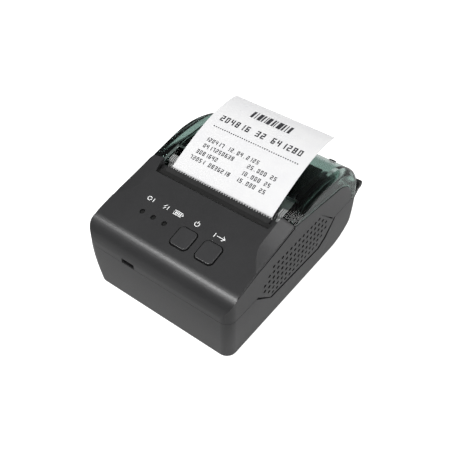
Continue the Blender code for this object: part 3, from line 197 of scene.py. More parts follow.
def bakeModifiers(piece):
    bpy.context.view_layer.update()
    graph = bpy.context.evaluated_depsgraph_get()
    mesh = bpy.data.meshes.new_from_object(piece.evaluated_get(graph))
    old = piece.data
    piece.modifiers.clear()
    piece.data = mesh
    bpy.data.meshes.remove(old)


def combine(piece, tool, operation="DIFFERENCE"):
    change = piece.modifiers.new("combine", "BOOLEAN")
    change.operation = operation
    change.solver = "EXACT"
    change.object = tool
    bakeModifiers(piece)
    bpy.data.objects.remove(tool)
    return piece


# Takes out the slivers that a shallow cut leaves
def cleaned(piece):
    bm = bmesh.new()
    bm.from_mesh(piece.data)
    bmesh.ops.remove_doubles(bm, verts=bm.verts[:], dist=mending["sliver"])
    bmesh.ops.dissolve_degenerate(bm, edges=bm.edges[:], dist=mending["sliver"] / 2)
    bmesh.ops.triangulate(bm, faces=bm.faces[:])
    bmesh.ops.dissolve_limit(bm, angle_limit=mending["flat"], verts=bm.verts[:], edges=bm.edges[:])
    bm.to_mesh(piece.data)
    bm.free()
    return piece


# The edges that bend by more than an angle and whose middle point passes a test
def bentEdges(bm, angle, picked):
    edges = []
    for edge in bm.edges:
        if len(edge.link_faces) == 2 and edge.calc_face_angle() > angle:
            if picked((edge.verts[0].co + edge.verts[1].co) / 2 - caseShift):
                edges.append(edge)
    return edges


def roundEdges(piece, width, segments, picked, sharpest=35):
    bm = bmesh.new()
    bm.from_mesh(piece.data)
    bmesh.ops.remove_doubles(bm, verts=bm.verts, dist=mending["weld"])
    bmesh.ops.dissolve_degenerate(bm, edges=bm.edges, dist=mending["weld"])
    bmesh.ops.bevel(
        bm, geom=bentEdges(bm, math.radians(sharpest), picked), offset=width, offset_type="OFFSET",
        segments=segments, profile=0.5, affect="EDGES", clamp_overlap=False,
    )
    bm.to_mesh(piece.data)
    bm.free()


def settle(piece, smoothAngle, creased):
    mesh = piece.data
    mesh.shade_smooth()
    mesh.set_sharp_from_angle(angle=math.radians(smoothAngle))
    if creased:
        bm = bmesh.new()
        bm.from_mesh(mesh)
        for edge in bentEdges(bm, mending["leastCrease"], creased):
            edge.smooth = False
        bm.to_mesh(mesh)
        bm.free()
    weigh = piece.modifiers.new("weigh", "WEIGHTED_NORMAL")
    weigh.keep_sharp = True
    bakeModifiers(piece)


# Gives a finished piece its material, its body and the CAD nodes that it stands for
def dress(piece, material, body, replaced=(), smoothAngle=38, creased=None):
    settle(piece, smoothAngle, creased)
    piece.data.materials.clear()
    piece.data.materials.append(material)
    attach(piece, body)
    for node in replaced:
        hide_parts(node)
    return piece


# Sets an input to a plain value, or links another node's output to it
def feed(tree, socket, value):
    if isinstance(value, bpy.types.NodeSocket):
        tree.links.new(value, socket)
    elif socket.type == "RGBA":
        socket.default_value = (*value, 1.0)
    else:
        socket.default_value = value


# Feeds inputs by name; an underscore in a key stands for the space in the socket's own name
def feedAll(tree, node, inputs):
    for label, value in inputs.items():
        feed(tree, node.inputs[label.replace("_", " ")], value)
    return node


def addNode(tree, kind, **inputs):
    return feedAll(tree, tree.nodes.new("ShaderNode" + kind), inputs)


def place(tree, group, **inputs):
    node = tree.nodes.new("ShaderNodeGroup")
    node.node_tree = group
    return feedAll(tree, node, inputs).outputs


def calculated(tree, kind, operation, *values):
    node = tree.nodes.new(kind)
    node.operation = operation
    for socket, value in zip(node.inputs, values):
        feed(tree, socket, value)
    return node


def mathNode(tree, operation, *values, clamp=False):
    node = calculated(tree, "ShaderNodeMath", operation, *values)
    node.use_clamp = clamp
    return node.outputs[0]


def vectorNode(tree, operation, *values):
    outputs = calculated(tree, "ShaderNodeVectorMath", operation, *values).outputs
    return outputs["Value" if operation == "LENGTH" else "Vector"]


def noiseNode(tree, vector, scale, detail, roughness):
    noise = addNode(tree, "TexNoise", Vector=vector, Scale=scale, Detail=detail, Roughness=roughness)
    return noise.outputs[0]


def objectSpot(tree):
    return addNode(tree, "TexCoord").outputs["Object"]


# A Mix node has sockets for numbers, vectors and colours; these are the places of the colour ones
mixSockets = {"factor": 0, "first": 6, "second": 7, "result": 2}


def mixColour(tree, factor, first, second):
    node = tree.nodes.new("ShaderNodeMix")
    node.data_type = "RGBA"
    for label, value in (("factor", factor), ("first", first), ("second", second)):
        feed(tree, node.inputs[mixSockets[label]], value)
    return node.outputs[mixSockets["result"]]


def mapped(tree, value, low, high, fromLow=0.3, fromHigh=0.7):
    node = addNode(
        tree, "MapRange", Value=value, From_Min=fromLow, From_Max=fromHigh, To_Min=low, To_Max=high
    )
    return node.outputs[0]


# A node group gives back its tree, the values that come in and the sockets that lead out
def newGroup(name, inputs, outputs):
    group = bpy.data.node_groups.new(name, "ShaderNodeTree")
    for labels, way in ((inputs, "INPUT"), (outputs, "OUTPUT")):
        for label in labels:
            group.interface.new_socket(label, in_out=way, socket_type="NodeSocketFloat")
    return group, group.nodes.new("NodeGroupInput").outputs, group.nodes.new("NodeGroupOutput").inputs


grainShape = {"fineDetail": 2.0, "broadDetail": 4.0, "roughness": 0.6, "broadHeight": 0.25}
dustShape = {"detail": 6.0, "roughness": 0.7, "leastUpward": 0.35, "leastPatch": 0.42}
rubShape = {"detail": 3.0, "roughness": 0.7}


# The fine grain of a moulded surface over a broad mottle
def buildMouldGrain():
    group, entry, leave = newGroup(
        "mouldGrain", ("Grain Scale", "Mottle Scale"), ("Grain", "Mottle", "Height")
    )
    spot = objectSpot(group)
    rough = grainShape["roughness"]
    grain = noiseNode(group, spot, entry["Grain Scale"], grainShape["fineDetail"], rough)
    mottle = noiseNode(group, spot, entry["Mottle Scale"], grainShape["broadDetail"], rough)
    broad = mathNode(group, "MULTIPLY", mottle, grainShape["broadHeight"])
    height = mathNode(group, "ADD", grain, broad)
    for label, value in (("Grain", grain), ("Mottle", mottle), ("Height", height)):
        feed(group, leave[label], value)
    return group


# Thin settled dust: a mask on faces that look up, broken into patches
def buildDust():
    group, entry, leave = newGroup("settledDust", ("Amount", "Patch Scale"), ("Dust",))
    facing = addNode(group, "SeparateXYZ", Vector=addNode(group, "NewGeometry").outputs["Normal"])
    patches = noiseNode(
        group, objectSpot(group), entry["Patch Scale"], dustShape["detail"], dustShape["roughness"]
    )
    upward = mathNode(group, "SUBTRACT", facing.outputs["Z"], dustShape["leastUpward"], clamp=True)
    speckle = mathNode(group, "SUBTRACT", patches, dustShape["leastPatch"], clamp=True)
    mask = mathNode(group, "MULTIPLY", upward, speckle)
    feed(group, leave["Dust"], mathNode(group, "MULTIPLY", mask, entry["Amount"], clamp=True))
    return group


# Long fine rub marks, stretched along one direction
def buildRub():
    group, entry, leave = newGroup("rubMarks", ("Scale", "Stretch"), ("Rub",))
    squeeze = addNode(group, "CombineXYZ", X=entry["Stretch"], Y=1.0, Z=1.0)
    stretched = vectorNode(group, "MULTIPLY", objectSpot(group), squeeze.outputs[0])
    marks = noiseNode(group, stretched, entry["Scale"], rubShape["detail"], rubShape["roughness"])
    feed(group, leave["Rub"], marks)
    return group


mouldGrain = buildMouldGrain()
settledDust = buildDust()
rubMarks = buildRub()
print("shader groups built")


def startMaterial(name, **inputs):
    material = bpy.data.materials.new(name)
    material.use_nodes = True
    tree = material.node_tree
    shader = feedAll(tree, tree.nodes["Principled BSDF"], inputs)
    return material, tree, shader


def addBump(tree, shader, height, look):
    bump = addNode(tree, "Bump", Strength=look["bump"], Distance=look["bumpDistance"], Height=height)
    feed(tree, shader.inputs["Normal"], bump.outputs[0])


def grey(value):
    return (value, value, value)


charcoalLook = {
    "dark": (0.0175, 0.0175, 0.0182), "light": (0.0210, 0.0210, 0.0218), "fleck": (0.040, 0.040, 0.042),
    "speckle": 0.18, "roughness": (0.30, 0.37), "specular": 0.33,
    "grainScale": 2600.0, "mottleScale": 55.0, "bump": 0.22, "bumpDistance": 0.00006,
    "dust": 0.04, "dustScale": 260.0, "dustColour": (0.20, 0.20, 0.19),
}


# Moulded plastic or rubber, as the charcoal look with some values changed: two close tones, a fine
# spark-eroded grain and a little dust
def moulded(name, **changes):
    look = {**charcoalLook, **changes}
    material, tree, shader = startMaterial(name, Specular_IOR_Level=look["specular"])
    grain = place(tree, mouldGrain, Grain_Scale=look["grainScale"], Mottle_Scale=look["mottleScale"])
    dust = place(tree, settledDust, Amount=look["dust"], Patch_Scale=look["dustScale"])
    base = mixColour(tree, mapped(tree, grain["Mottle"], 0.0, 1.0), look["dark"], look["light"])
    base = mixColour(tree, mapped(tree, grain["Grain"], 0.0, look["speckle"]), base, look["fleck"])
    base = mixColour(tree, dust["Dust"], base, look["dustColour"])
    feedAll(tree, shader, {"Base Color": base, "Roughness": mapped(tree, grain["Grain"], *look["roughness"])})
    addBump(tree, shader, grain["Height"], look)
    return material


charcoalUpper = moulded("charcoal_upper")
charcoalLower = moulded("charcoal_lower", dark=(0.0175, 0.0175, 0.0180), light=(0.0205, 0.0205, 0.0212))
charcoalKey = moulded(
    "charcoal_key", dark=(0.021, 0.021, 0.022), light=(0.025, 0.025, 0.026), grainScale=3200.0
)
charcoalDoor = moulded("charcoal_door", mottleScale=90.0)
blackMould = moulded(
    "black_mould", dark=grey(0.006), light=grey(0.010), fleck=grey(0.02), roughness=(0.34, 0.46)
)
binPlastic = moulded(
    "bin_plastic", dark=(0.017, 0.018, 0.018), light=(0.023, 0.024, 0.024), fleck=grey(0.03),
    roughness=(0.34, 0.46),
)
tearPlastic = moulded("tear_bar_plastic", dark=grey(0.012), light=grey(0.018))
# Near black for the sheet in the dip: painted shade
trimPlastic = moulded(
    "slot_trim_plastic", dark=grey(0.007), light=grey(0.010), fleck=grey(0.02), dust=0.02
)
footRubber = moulded(
    "foot_rubber", dark=grey(0.014), light=(0.022, 0.022, 0.021), roughness=(0.72, 0.86),
    grainScale=1500.0, bump=0.35, specular=0.3,
)
stopRubber = moulded(
    "stop_rubber", dark=grey(0.006), light=grey(0.010), fleck=grey(0.014), dust=0.02,
    roughness=(0.8, 0.95), specular=0.05,
)
# Black for the filling in each grip's groove: painted shade for the groove's dark line
grooveShadeRubber = moulded(
    "groove_shade_rubber", dark=grey(0.004), light=grey(0.007), fleck=grey(0.012), dust=0.02,
    roughness=(0.6, 0.75), specular=0.2,
)
platenRubber = moulded(
    "platen_rubber", dark=grey(0.10), light=grey(0.14), fleck=grey(0.2), roughness=(0.55, 0.7),
    grainScale=1800.0,
)
bushPlastic = moulded(
    "bush_plastic", dark=(0.21, 0.215, 0.215), light=(0.28, 0.285, 0.28), fleck=grey(0.4),
    roughness=(0.35, 0.5),
)
gearPlastic = moulded(
    "gear_plastic", dark=grey(0.13), light=grey(0.18), fleck=grey(0.3), roughness=(0.35, 0.5),
    grainScale=2000.0, bump=0.1,
)
lensPlastic = moulded(
    "lens_plastic", dark=grey(0.002), light=grey(0.004), fleck=grey(0.006), roughness=(0.30, 0.42),
    dust=0.02,
)
ceramicGlaze = moulded(
    "ceramic_glaze", dark=(0.50, 0.47, 0.42), light=(0.62, 0.60, 0.55), fleck=(0.7, 0.7, 0.68),
    roughness=(0.12, 0.25), grainScale=1200.0, bump=0.05,
)
batteryWrap = moulded(
    "battery_wrap", dark=(0.03, 0.10, 0.26), light=(0.04, 0.14, 0.34), fleck=(0.10, 0.22, 0.45),
    roughness=(0.25, 0.4), grainScale=500.0, bump=0.3,
)
print("moulded materials built")

# Stains show where the mottle passes from the first to the second of stainFrom
steelLook = {
    "dark": (0.42, 0.43, 0.44), "light": (0.58, 0.59, 0.60), "stain": grey(0.30),
    "stainShare": 0.25, "stainFrom": (0.5, 0.8), "roughness": (0.22, 0.38),
    "rubScale": 1400.0, "stretch": 0.05, "mottleScale": 70.0, "bump": 0.15, "bumpDistance": 0.00003,
}


# Bare metal: a base tone broken by fine rub marks, with the marks in its roughness too
def metal(name, **changes):
    look = {**steelLook, **changes}
    material, tree, shader = startMaterial(name, Metallic=1.0)
    rub = place(tree, rubMarks, Scale=look["rubScale"], Stretch=look["stretch"])["Rub"]
    grain = place(tree, mouldGrain, Grain_Scale=look["rubScale"], Mottle_Scale=look["mottleScale"])
    base = mixColour(tree, mapped(tree, rub, 0.0, 1.0), look["dark"], look["light"])
    stain = mapped(tree, grain["Mottle"], 0.0, look["stainShare"], *look["stainFrom"])
    base = mixColour(tree, stain, base, look["stain"])
    feedAll(tree, shader, {"Base Color": base, "Roughness": mapped(tree, rub, *look["roughness"])})
    addBump(tree, shader, rub, look)
    return material


steelMetal = metal("turned_steel")
darkSteel = metal(
    "blackened_steel", dark=(0.03, 0.03, 0.032), light=(0.06, 0.06, 0.062), stain=grey(0.02),
    roughness=(0.35, 0.5),
)
aluminiumMetal = metal(
    "rolled_aluminium", dark=(0.60, 0.61, 0.62), light=(0.75, 0.76, 0.77), roughness=(0.32, 0.48)
)
brassMetal = metal("cut_brass", dark=(0.52, 0.36, 0.13), light=(0.68, 0.50, 0.22), stain=(0.30, 0.20, 0.08))
print("metal materials built")

smokeLook = {
    "tint": (0.55, 0.67, 0.63), "deeper": (0.49, 0.61, 0.57), "roughness": (0.07, 0.11), "ior": 1.24,
    "grainScale": 700.0, "mottleScale": 30.0,
}


# Smoked see-through plastic: the tint sits in the solid wall, with a soft handled gloss
def smokedMaterial(name, look):
    material, tree, shader = startMaterial(name, Transmission_Weight=1.0, IOR=look["ior"])
    grain = place(tree, mouldGrain, Grain_Scale=look["grainScale"], Mottle_Scale=look["mottleScale"])
    base = mixColour(tree, mapped(tree, grain["Mottle"], 0.0, 1.0), look["tint"], look["deeper"])
    rough = mapped(tree, grain["Mottle"], *look["roughness"])
    feedAll(tree, shader, {"Base Color": base, "Roughness": rough})
    return material


smokedPlastic = smokedMaterial("smoked_plastic", smokeLook)

paperLook = {
    "white": grey(0.60), "shade": (0.57, 0.57, 0.58), "fibre": grey(0.54), "fibreScale": 1600.0,
    "fibreShare": 0.3, "fibreFrom": (0.5, 0.8), "mottleScale": 140.0, "stretch": 0.3,
    "roughness": (0.5, 0.62), "specular": 0.3, "bump": 0.08, "bumpDistance": 0.00003,
}
cardLook = {
    **paperLook, "white": (0.42, 0.33, 0.23), "shade": (0.34, 0.26, 0.18), "fibre": (0.26, 0.20, 0.13),
    "fibreScale": 900.0,
}
# The wound layers show at the roll's ends as rings; layers is their waves in a metre, times tau
woundLook = {**paperLook, "layers": 16000.0, "ringShare": 0.35, "ring": (0.62, 0.60, 0.58)}
rollCentre = (0.0780, 0.0233)


# Thermal paper: near white, with faint fibres and a slightly calendered face
def paperMaterial(name, look):
    material, tree, shader = startMaterial(name, Specular_IOR_Level=look["specular"])
    grain = place(tree, mouldGrain, Grain_Scale=look["fibreScale"], Mottle_Scale=look["mottleScale"])
    rub = place(tree, rubMarks, Scale=look["fibreScale"] / 2, Stretch=look["stretch"])["Rub"]
    base = mixColour(tree, mapped(tree, grain["Mottle"], 0.0, 1.0), look["shade"], look["white"])
    fibre = mapped(tree, rub, 0.0, look["fibreShare"], *look["fibreFrom"])
    base = mixColour(tree, fibre, base, look["fibre"])
    if "layers" in look:
        fromAxis = vectorNode(tree, "SUBTRACT", objectSpot(tree), Vector((0.0, *rollCentre)) + caseShift)
        across = vectorNode(tree, "MULTIPLY", fromAxis, (0.0, 1.0, 1.0))
        turns = mathNode(tree, "MULTIPLY", vectorNode(tree, "LENGTH", across), look["layers"])
        lines = mapped(tree, mathNode(tree, "SINE", turns), 0.0, look["ringShare"], -1.0, 1.0)
        base = mixColour(tree, lines, base, look["ring"])
    feedAll(tree, shader, {"Base Color": base, "Roughness": mapped(tree, grain["Grain"], *look["roughness"])})
    addBump(tree, shader, grain["Height"], look)
    return material


thermalPaper = paperMaterial("thermal_paper", paperLook)
cardPaper = paperMaterial("card", cardLook)
woundPaper = paperMaterial("wound_paper", woundLook)

inkLook = {"roughness": (0.45, 0.6), "specular": 0.25, "mottleShare": 6}


# Printed ink: flat marks whose density varies a little, as a worn print line leaves them
def inkMaterial(name, dark, light, scale):
    material, tree, shader = startMaterial(name, Specular_IOR_Level=inkLook["specular"])
    grain = place(tree, mouldGrain, Grain_Scale=scale, Mottle_Scale=scale / inkLook["mottleShare"])
    base = mixColour(tree, mapped(tree, grain["Grain"], 0.0, 1.0), dark, light)
    rough = mapped(tree, grain["Mottle"], *inkLook["roughness"])
    feedAll(tree, shader, {"Base Color": base, "Roughness": rough})
    return material


thermalInk = inkMaterial("thermal_ink", (0.010, 0.010, 0.012), (0.045, 0.045, 0.05), 2400.0)
whiteInk = inkMaterial("white_ink", (0.62, 0.63, 0.63), grey(0.80), 2200.0)

boardLook = {
    "lacquer": (0.010, 0.085, 0.035), "second": (0.014, 0.110, 0.045), "track": (0.05, 0.20, 0.08),
    "scale": 260.0, "trackWidth": 0.03, "coat": 0.3, "grainScale": 1500.0, "mottleScale": 100.0,
    "roughness": (0.3, 0.5),
}


# Board lacquer: green with copper tracks that show as slightly lighter lines
def boardMaterial(look):
    material, tree, shader = startMaterial("board_lacquer", Coat_Weight=look["coat"])
    brick = addNode(
        tree, "TexBrick", Vector=objectSpot(tree), Scale=look["scale"], Mortar_Size=look["trackWidth"],
        Color1=look["lacquer"], Color2=look["second"], Mortar=look["track"],
    )
    grain = place(tree, mouldGrain, Grain_Scale=look["grainScale"], Mottle_Scale=look["mottleScale"])
    rough = mapped(tree, grain["Mottle"], *look["roughness"])
    feedAll(tree, shader, {"Base Color": brick.outputs["Color"], "Roughness": rough})
    return material


boardLacquer = boardMaterial(boardLook)
print("all materials built")


# How far the sides lean out at a height: a hull curve up to flareHeight, then a slight tuck
def sideFlare(z):
    above = max(z - case["flareHeight"], 0.0)
    return case["sideFlare"] * eased(z / case["flareHeight"]) - above * math.tan(case["sideTuck"])


def casePlan(name, inset, rear, low, high):
    levels = [case["flareHeight"] * step / case["flareSteps"] for step in range(case["flareSteps"] + 1)]
    rings = []
    for z in [low] + [level for level in levels if low < level < high] + [high]:
        half = halfWidth - inset + sideFlare(z)
        start = inset - case["frontFlare"] * eased(z / case["flareHeight"])
        plan = roundedRectangle((-half, start), (half, rear), case["corner"] - inset, case["cornerSteps"])
        rings.append(ringAt("Z", plan, z))
    return ringsMesh(name, rings)


# A block with a side outline, kept inside the case's plan at an inset
def caseBlock(name, outline, inset, rear, low, high):
    block = prism(name, outline, "X", -widestHalf, widestHalf)
    return combine(block, casePlan(name + "_plan", inset, rear, low, high), "INTERSECT")


def frontRoll(inset):
    centreY = -case["frontFlare"] + case["rollRadius"]
    centreZ = topHeight(centreY) - case["rollRadius"] / math.cos(case["topSlope"])
    return [(ahead, centreZ)] + arcPoints(
        (centreY, centreZ), case["rollRadius"] - inset, math.pi, math.pi / 2 + case["topSlope"],
        case["curveSteps"],
    )


def lowerOutline(inset, top):
    points = [(ahead, inset)]
    for step in range(case["curveSteps"] + 1):
        angle = math.pi / 2 * step / case["curveSteps"]
        y = caseDepth - case["rearRoundDepth"] + (case["rearRoundDepth"] - inset) * math.sin(angle)
        z = case["rearRoundHeight"] - (case["rearRoundHeight"] - inset) * math.cos(angle)
        points.append((y, z))
    return points + [(caseDepth - inset, top), (ahead, top)]


# Side grips: the outline, a black filling in the groove round it that paints the groove's shade, the
# dimples, and the scored line at the upper rear corner; the filling's low and high corners bound a box that
# clears all of the other side
grip = {
    "front": 0.0191, "rear": 0.0806, "footFront": 0.0287, "footFrontHeight": 0.0163,
    "footRear": 0.0680, "footHeight": 0.0143, "rearStep": 0.0733, "rearStepHeight": 0.0175,
    "footFrontShare": 0.7, "groove": 0.0016, "grooveShadeDeep": 0.0009, "grooveShadeGap": 0.00003, "grooveShadeFoot": 0.0001,
    "grooveShadeLow": (-0.01, -0.01), "grooveShadeHigh": (0.12, 0.06),
    "pitch": 0.0033, "dimple": 0.00155, "stretch": 1.25, "deep": 0.0010, "wallShare": 0.7,
    "floorShare": 0.6, "topRow": 0.0347, "middle": 0.0484, "counts": (12, 14, 16, 16, 14, 12),
    "dimpleSteps": 12, "score": 0.00030, "scoreDeep": 0.0006,
    "scoreLine": ((0.0686, 0.0358), (0.0700, 0.0346), (0.0720, 0.0327), (0.0746, 0.0302),
                  (0.0772, 0.0278), (0.0794, 0.0258)),
}


def gripOutline(clearance, top):
    return [
        (grip["front"] - clearance, top),
        (grip["front"] - clearance, split),
        (grip["footFront"] + clearance * grip["footFrontShare"], grip["footFrontHeight"] - clearance),
        (grip["footRear"] + clearance, grip["footHeight"] - clearance),
        (grip["rearStep"] + clearance, grip["rearStepHeight"] - clearance),
        (grip["rear"] + clearance, split),
        (grip["rear"] + clearance, top),
    ]


def dimpleField(sign):
    bm = bmesh.new()
    for row, count in enumerate(grip["counts"]):
        z = grip["topRow"] - row * grip["pitch"]
        face = halfWidth + sideFlare(z)
        sections = (
            (widestHalf, 1.0), (face - grip["deep"] * grip["wallShare"], 1.0),
            (face - grip["deep"], grip["floorShare"]),
        )
        for column in range(count):
            y = grip["middle"] + (column - (count - 1) / 2) * grip["pitch"]
            rings = []
            for x, size in sections:
                ring = circlePoints((y, z), grip["dimple"] / 2 * size, grip["dimpleSteps"])
                rings.append([Vector((sign * x, y + (a - y) * grip["stretch"], b)) for a, b in ring])
            skinRings(bm, rings)
    return addMesh("dimple_field", bm)


def gripScore(sign):
    line = grip["scoreLine"]
    edges = []
    for side in (-1, 1):
        row = []
        for index, (y, z) in enumerate(line):
            along = directionAt(line, index)
            row.append((y - side * along.y * grip["score"], z + side * along.x * grip["score"]))
        edges.append(row)
    face = halfWidth + sideFlare(line[0][1])
    outline = edges[0] + edges[1][::-1]
    return sidePrism("grip_score", outline, sign, face - grip["scoreDeep"], widestHalf)


hinge = {
    "spot": (0.1075, 0.0268), "knuckle": 0.0022, "pin": 0.0011, "earWidth": 0.0041, "earInset": 0.0002,
    "knuckleWidth": 0.0104, "earDrop": 0.0095, "wrap": math.radians(25), "lowWrap": math.radians(120),
    "highWrap": math.radians(60), "steps": 20,
}
hingeY, hingeZ = hinge["spot"]
screws = {
    "front": (0.0368, 0.0075), "rear": (0.0368, 0.0872), "boss": 0.0028, "hole": 0.0013,
    "shank": 0.0010, "head": 0.0021, "headHeight": 0.0015, "sink": 0.0030, "length": 0.0240,
    "rearBoss": 0.0075, "thread": 0.0065,
}
feet = {"front": (0.0320, 0.0180), "rear": (0.0275, 0.0820), "radius": 0.0035, "proud": 0.0006,
        "recess": 0.0007}
battery = {"half": 0.0245, "front": 0.0130, "rear": 0.0411, "ledge": 0.0020, "thick": 0.0010,
           "travel": 0.0050}
boardPosts = {"front": (0.0289, 0.0056), "rear": (0.0289, 0.0296), "radius": 0.0014, "top": 0.0231}


# A set of four stands in two pairs, each place under its name
def fourPlaces(look):
    return {
        end + "_" + side: (sign * look[end][0], look[end][1])
        for end in ("front", "rear") for side, sign in leftRight
    }


def earOutline():
    root = caseDepth - 2 * wall
    low = split - seam
    points = [(root, hingeZ - hinge["earDrop"]), (root, low), (hingeY - hinge["knuckle"], low)]
    return points + arcPoints(hinge["spot"], hinge["knuckle"], math.pi, -hinge["wrap"], hinge["steps"])


def buildLowerCase():
    top = split + seam - case["partingGap"]
    piece = caseBlock("lower_shell", lowerOutline(0.0, top), 0.0, caseDepth, -over, top + over / 2)
    combine(piece, caseBlock(
        "lower_cavity", lowerOutline(wall, top + over), wall, caseDepth - wall, 0.0, top + 2 * over
    ))
    outer = halfWidth - hinge["earInset"]
    inner = outer - hinge["earWidth"]
    for sign in (-1, 1):
        window = gripOutline(grip["groove"], top + over)
        combine(piece, sidePrism("window", window, sign, innerHalf - over, widestHalf))
        combine(piece, sidePrism("ear", earOutline(), sign, outer, inner), "UNION")
        combine(piece, sideRod("bore", hinge["spot"], hinge["pin"] + seam, sign, outer + over, inner - over))
    for spot in fourPlaces(screws).values():
        combine(piece, rod("boss", spot, screws["boss"], wall / 2, split, "Z"), "UNION")
        combine(piece, rod("hole", spot, screws["hole"], -over, top + over, "Z"))
        combine(piece, rod("sink", spot, screws["head"] + seam, -over, screws["sink"], "Z"))
    for spot in fourPlaces(feet).values():
        combine(piece, rod("recess", spot, feet["radius"] + seam, -over, feet["recess"], "Z"))
    for spot in fourPlaces(boardPosts).values():
        combine(piece, rod("post", spot, boardPosts["radius"], wall / 2, boardPosts["top"], "Z"), "UNION")
    half = battery["half"] + battery["ledge"] + seam
    front = battery["front"] - battery["ledge"] - seam - battery["travel"]
    rear = battery["rear"] + battery["ledge"] + seam
    combine(piece, boxBetween("door_recess", (-half, front, -over), (half, rear, battery["thick"] + seam)))
    half = battery["half"] + seam
    return combine(piece, boxBetween(
        "battery_opening", (-half, battery["front"] - seam, 0.0), (half, battery["rear"] + seam, wall + over)
    ))


# A black filling lies in the groove round each grip, set a little below the face: painted shade for the
# groove's dark line
def buildGrooveShade(sign):
    outline = gripOutline(grip["groove"] - grip["grooveShadeGap"], split)
    ring = caseBlock("groove_shade_block", outline, grip["grooveShadeDeep"], caseDepth, wall, split)
    low, high = sorted((sign * (innerHalf + grip["grooveShadeFoot"]), -sign * widestHalf))
    combine(ring, boxBetween("other_side", (low, *grip["grooveShadeLow"]), (high, *grip["grooveShadeHigh"])))
    hole = gripOutline(grip["grooveShadeGap"], split + over / 2)
    return combine(ring, prism("groove_shade_hole", hole, "X", -widestHalf, widestHalf))


# Each grip's groove gets its black filling: painted shade
for sign in (-1, 1):
    dress(buildGrooveShade(sign), grooveShadeRubber, "housing")
dress(buildLowerCase(), charcoalLower, "housing", ("lower_case",))
print("lower case built")

# The long top edges tilt outward beside the slot; near and beside are how close an edge has to lie
# to the tilt's lines to count as one of them
shoulder = {
    "start": 0.0178, "full": 0.0305, "end": 0.0700, "width": 0.0063, "drop": 0.0014, "stations": 30,
    "bunching": 1.3, "lead": 0.00002, "round": 0.00034, "roundSteps": 3, "near": 0.0002, "beside": 0.0005,
}
fin = {"tip": 0.0456, "shoulder": 0.0407, "rear": 0.0970, "round": 0.0158}
cover = {
    "wall": 0.0018, "top": 0.0502, "crest": 0.0690, "front": 0.0477, "bulge": 0.85,
    "slotRear": 0.0565, "slotHalf": 0.0336, "rib": 0.0015, "ribDepth": 0.0050,
    "ribFoot": 0.0366, "ribFootRear": 0.0555, "edgeRound": 0.0006, "rearRound": 0.0042,
    "roundRun": 0.0270, "roundSteps": 8, "rootRear": 0.0800, "rootHeight": 0.0120, "skin": 0.00001,
}
platen = {
    "centre": (0.0500, 0.0402), "radius": 0.0040, "half": 0.0290, "shaft": 0.0015, "bush": 0.0033,
    "spigot": 0.0022, "steps": 64, "softEnd": ((0.0, 0.0005), (0.0002, 0.0001), (0.0005, 0.0)),
}
keys = {
    "width": 0.0093, "length": 0.0100, "corner": 0.0020, "cornerSteps": 8, "proud": 0.0003, "y": 0.0155,
    "power": 0.0032, "feed": 0.0169, "flange": 0.0008, "lap": 0.0001, "stem": 0.0015, "stemEnd": 0.0036,
    "stemSteps": 20, "round": 0.0004, "roundSteps": 5, "gap": 0.00048, "shift": 0.00020,
    "dish": ((0.8, 0.00002), (0.5, 0.00005), (0.2, 0.00006)),
}
lights = {"xs": (-0.0221, -0.0156, -0.0091), "y": 0.0170, "hole": 0.0013}
usb = {
    "x": -0.0153, "width": 0.0069, "height": 0.0025, "low": 0.0250, "deep": 0.0072,
    "slotCorner": 0.0004, "slotSteps": 4,
}
# The dip ahead of the tear bar: endStart and endFoot give its start and foot at both ends, measured
# forward from the bar's edge, and the thin dark sheet of painted shade in it stays under a set share of the
# dip's depth
trough = {
    "start": 0.0374, "low": 0.04132, "rise": 0.0447, "deepest": 0.0442, "lowest": 0.50, "steps": 12,
    "height": 0.0440, "half": 0.0334, "slant": 0.0016, "wall": 0.0013, "edge": 0.0450,
    "endStart": 0.0020, "endFoot": 0.0008, "endSteps": 6, "nudge": 0.00002,
    "trim": 0.00012, "trimFrom": 0.04, "trimShare": 0.8, "trimFoot": 0.2,
}
crease = {
    "below": 0.00020, "high": 0.00150, "frontHigh": 0.00050, "deep": 0.00100, "front": 0.0042,
    "fadeIn": 0.006, "least": 0.02,
}


# Top edge of a side fin from its front tip to the split line, raised by a clearance
def finEdge(clearance):
    centre = (fin["rear"] - fin["round"], fin["shoulder"] - fin["round"])
    radius = fin["round"] + clearance
    foot = math.asin((split + 2 * seam - centre[1]) / radius)
    tip = (topEnd + seam - clearance, fin["tip"] + clearance)
    return [tip] + arcPoints(centre, radius, math.pi / 2, foot, case["curveSteps"])


# The cover's side outline over the slot and down the back to the hinge's height
def coverOutline(inset):
    front = topEnd + seam
    steps = case["curveSteps"] // 2
    points = []
    for step in range(steps + 1):
        height = between(cover["front"], cover["top"], eased(step / steps))
        points.append((front + (cover["crest"] - topEnd - seam) * (step / steps), height - inset))
    reach = caseDepth - cover["crest"]
    drop = cover["top"] - hingeZ
    for step in range(1, case["curveSteps"] + 1):
        angle = math.pi / 2 * step / case["curveSteps"]
        y = cover["crest"] + reach * math.sin(angle) ** cover["bulge"] - inset * math.sin(angle)
        fall = drop * (1 - math.cos(angle) ** cover["bulge"])
        points.append((y, cover["top"] - fall - inset * math.cos(angle)))
    return points


# How wide and how deep the outward tilt is at a distance back, and the height where it starts
def shoulderAt(y):
    if y <= topEnd:
        spread = eased((y - shoulder["start"]) / (shoulder["full"] - shoulder["start"]))
        fade = eased((y - shoulder["start"]) / (topEnd - shoulder["start"]))
        return shoulder["width"] * spread, shoulder["drop"] * fade, topHeight(y)
    fade = math.cos(math.pi / 2 * min((y - topEnd) / (shoulder["end"] - topEnd), 1.0))
    ridge = between(cover["front"], cover["top"], eased((y - topEnd) / (cover["crest"] - topEnd)))
    return shoulder["width"], shoulder["drop"] * fade, ridge


# A four-cornered section beyond the wall on one side, as a ring at a distance back
def outerRing(sign, inner, heights, y):
    innerLow, outerLow, high = heights
    section = ((inner, innerLow), (widestHalf, outerLow), (widestHalf, high), (inner, high))
    return ringAt("Y", [(sign * x, z) for x, z in section], y)


